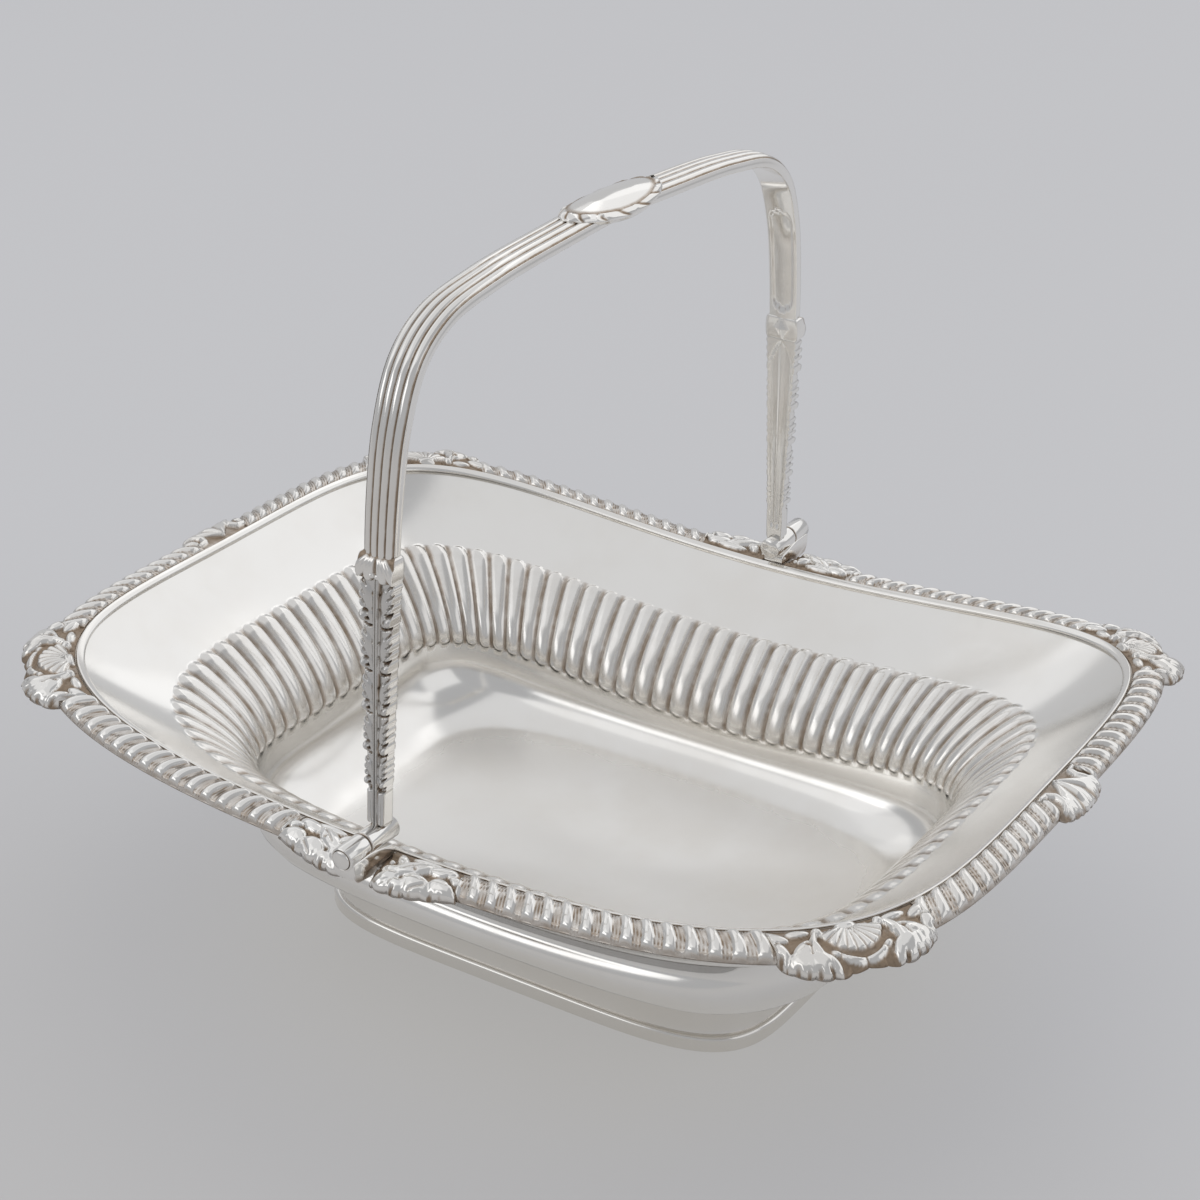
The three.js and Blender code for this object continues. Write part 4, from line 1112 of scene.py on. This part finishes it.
def make_cartouche():
    """A plain domed oval with a ribbon-tied border, bent with the crown of the handle."""
    def shape(across, along):
        turn, share = across * math.tau, along
        rim = dome((np.clip(share, RIBBON_FROM, RIBBON_TO) - RIBBON_MIDDLE) / RIBBON_HALF)
        reach = np.interp(share, *np.transpose(OVAL_REACHES))
        lift = np.interp(share, *np.transpose(OVAL_HEIGHTS))
        twist = np.abs(np.sin(turn * OVAL_ROUND / 2.3 - share * 6.0)) ** 0.6
        tie = np.exp(-((((across * TIES + 0.5) % 1) - 0.5) / 0.035) ** 2)
        lift = lift + rim * (0.6 * twist + 0.3 * tie) - 0.5 * (np.cos(turn) * reach) ** 4
        grown = reach * (1 + 0.03 * rim * twist) / 2
        x, y = np.sin(turn) * grown * OVAL_WIDTH, np.cos(turn) * grown * OVAL_LENGTH
        z = np.interp(y, LINE[:, 0], LINE[:, 1]) + OVAL_SEAT - OVAL_DRAPE * x * x + lift
        hollow = 0.8 * smooth(share, 0.56, 0.62) * smooth(share, 0.68, 0.62)
        return leaned(x, y, z), rim * (1 - smooth(twist, 0.2, 0.8)) * (1 - tie) + hollow

    sheet_piece("oval_cartouche", "handle", HANDLE_SILVER, "handle_cartouche", OVAL_GRID, shape)


make_bowl()
make_mouldings()
make_border()
make_hinges()
make_handle()
make_cartouche()


# Studio, in metres

TABLE_HALF = 6
TABLE_COOL, TABLE_PALE = (0.53, 0.53, 0.545), (0.56, 0.56, 0.575)
# Painted tones of the table for the camera and mirrors: NEAR_TABLE and FAR_TABLE paint it darker towards the
# front, LIT_TABLE is a painted pool of light round the basket where light thrown from the silver falls, and
# TABLE_GLOW is their share, which also lightens the basket's shadow
NEAR_TABLE = (0.43, 0.424, 0.424)
LIT_TABLE = (0.53, 0.52, 0.505)
FAR_TABLE = (0.508, 0.512, 0.535)
TABLE_GLOW = 0.62
WORLD_LIGHT, BACKDROP = (0.88, 0.88, 0.88), (0.42, 0.425, 0.44)

# Lamps: place, width and height, and power in watts
LAMP_AIM = (0, 0, 0.08)
LAMPS = {
    "overhead": ((-0.8, 0.0, 1.85), (3.8, 2.8), 8.7),
    "left": ((-1.35, -0.1, 1.35), (1.3, 1.0), 0.35),
    "back": ((0.65, 1.7, 1.35), (3.2, 1.7), 8.0),
    "back left": ((-1.35, 1.35, 0.95), (2.8, 1.7), 1.8),
    "front left": ((-1.1, -1.45, 1.3), (1.2, 1.7), 1.2),
    "low front left": ((-1.1, -1.76, 0.9), (1.3, 0.6), 1.5),
    "right": ((1.7, -0.1, 0.95), (1.5, 1.2), 1.9),
}

CAMERA_SPOT, CAMERA_AIM = (0.39655, -0.61189, 0.4813), (0.00025, 0, 0.11932)
CAMERA_LENS, CAMERA_SENSOR = 74.93, 36


def studio_floor():
    """A pale table, which mirrors and the camera see partly in fixed painted tones: painted shading, darker
    towards the front, and a painted pool of light round the basket, which also lighten the basket's shadow.
    """
    finish = Finish("pale table")
    colour = finish.colours(finish.noise(1.2, 2.0, 0.5), TABLE_COOL, TABLE_PALE)
    finish.set(Base_Color=colour, Roughness=0.34, IOR=1.35)
    far = finish.node("SeparateXYZ", {}, [finish.place()], out=1)
    reach = finish.node("VectorMath", {"operation": "LENGTH"}, [finish.place()], out=1)
    # Painted shading: darker towards the front
    seen = finish.colours(finish.clamp(far, -0.3, 0.15), NEAR_TABLE, FAR_TABLE)
    # A painted pool of light round the basket's foot
    seen = finish.colours(finish.clamp(reach, 0.17, 0.08), seen, LIT_TABLE)
    glow = finish.node("Emission", {}, {0: seen})
    matt = Value(finish, finish.shader.outputs[0])
    both = finish.node("MixShader", {}, [finish.seen() * TABLE_GLOW, matt, glow])
    finish.put(finish.tree.nodes["Material Output"].inputs["Surface"], both)
    bm = bmesh.new()
    bmesh.ops.create_grid(bm, x_segments=1, y_segments=1, size=TABLE_HALF)
    table = with_mesh("table", bm, finish.material)


def studio_world():
    """White light all round, which mirrors and the camera see as the pale grey of the backdrop."""
    world = bpy.data.worlds.new("studio")
    bpy.context.scene.world = world
    world.use_nodes = True
    nodes = Nodes(world.node_tree)
    sky = nodes.tree.nodes["Background"]
    nodes.put(sky.inputs["Color"], nodes.colours(nodes.seen(), WORLD_LIGHT, BACKDROP))
    sky.inputs["Strength"].default_value = 1.0


def aimed(name, data, spot, aim):
    """Puts a lamp or the camera at a spot and turns it to its aim."""
    obj = in_scene(name, data)
    obj.location = spot
    obj.rotation_euler = (Vector(aim) - Vector(spot)).to_track_quat("-Z", "Y").to_euler()
    return obj


def studio_lamps():
    for name, (spot, size, power) in LAMPS.items():
        lamp = bpy.data.lights.new(name, "AREA")
        lamp.shape = "RECTANGLE"
        lamp.size, lamp.size_y = size
        lamp.energy = power
        aimed(name, lamp, spot, LAMP_AIM)


def photograph_camera():
    camera = bpy.data.cameras.new("camera")
    camera.lens, camera.sensor_width = CAMERA_LENS, CAMERA_SENSOR
    bpy.context.scene.camera = aimed("camera", camera, CAMERA_SPOT, CAMERA_AIM)


studio_floor()
studio_world()
studio_lamps()
photograph_camera()
bpy.context.scene.view_settings.view_transform = "Standard"
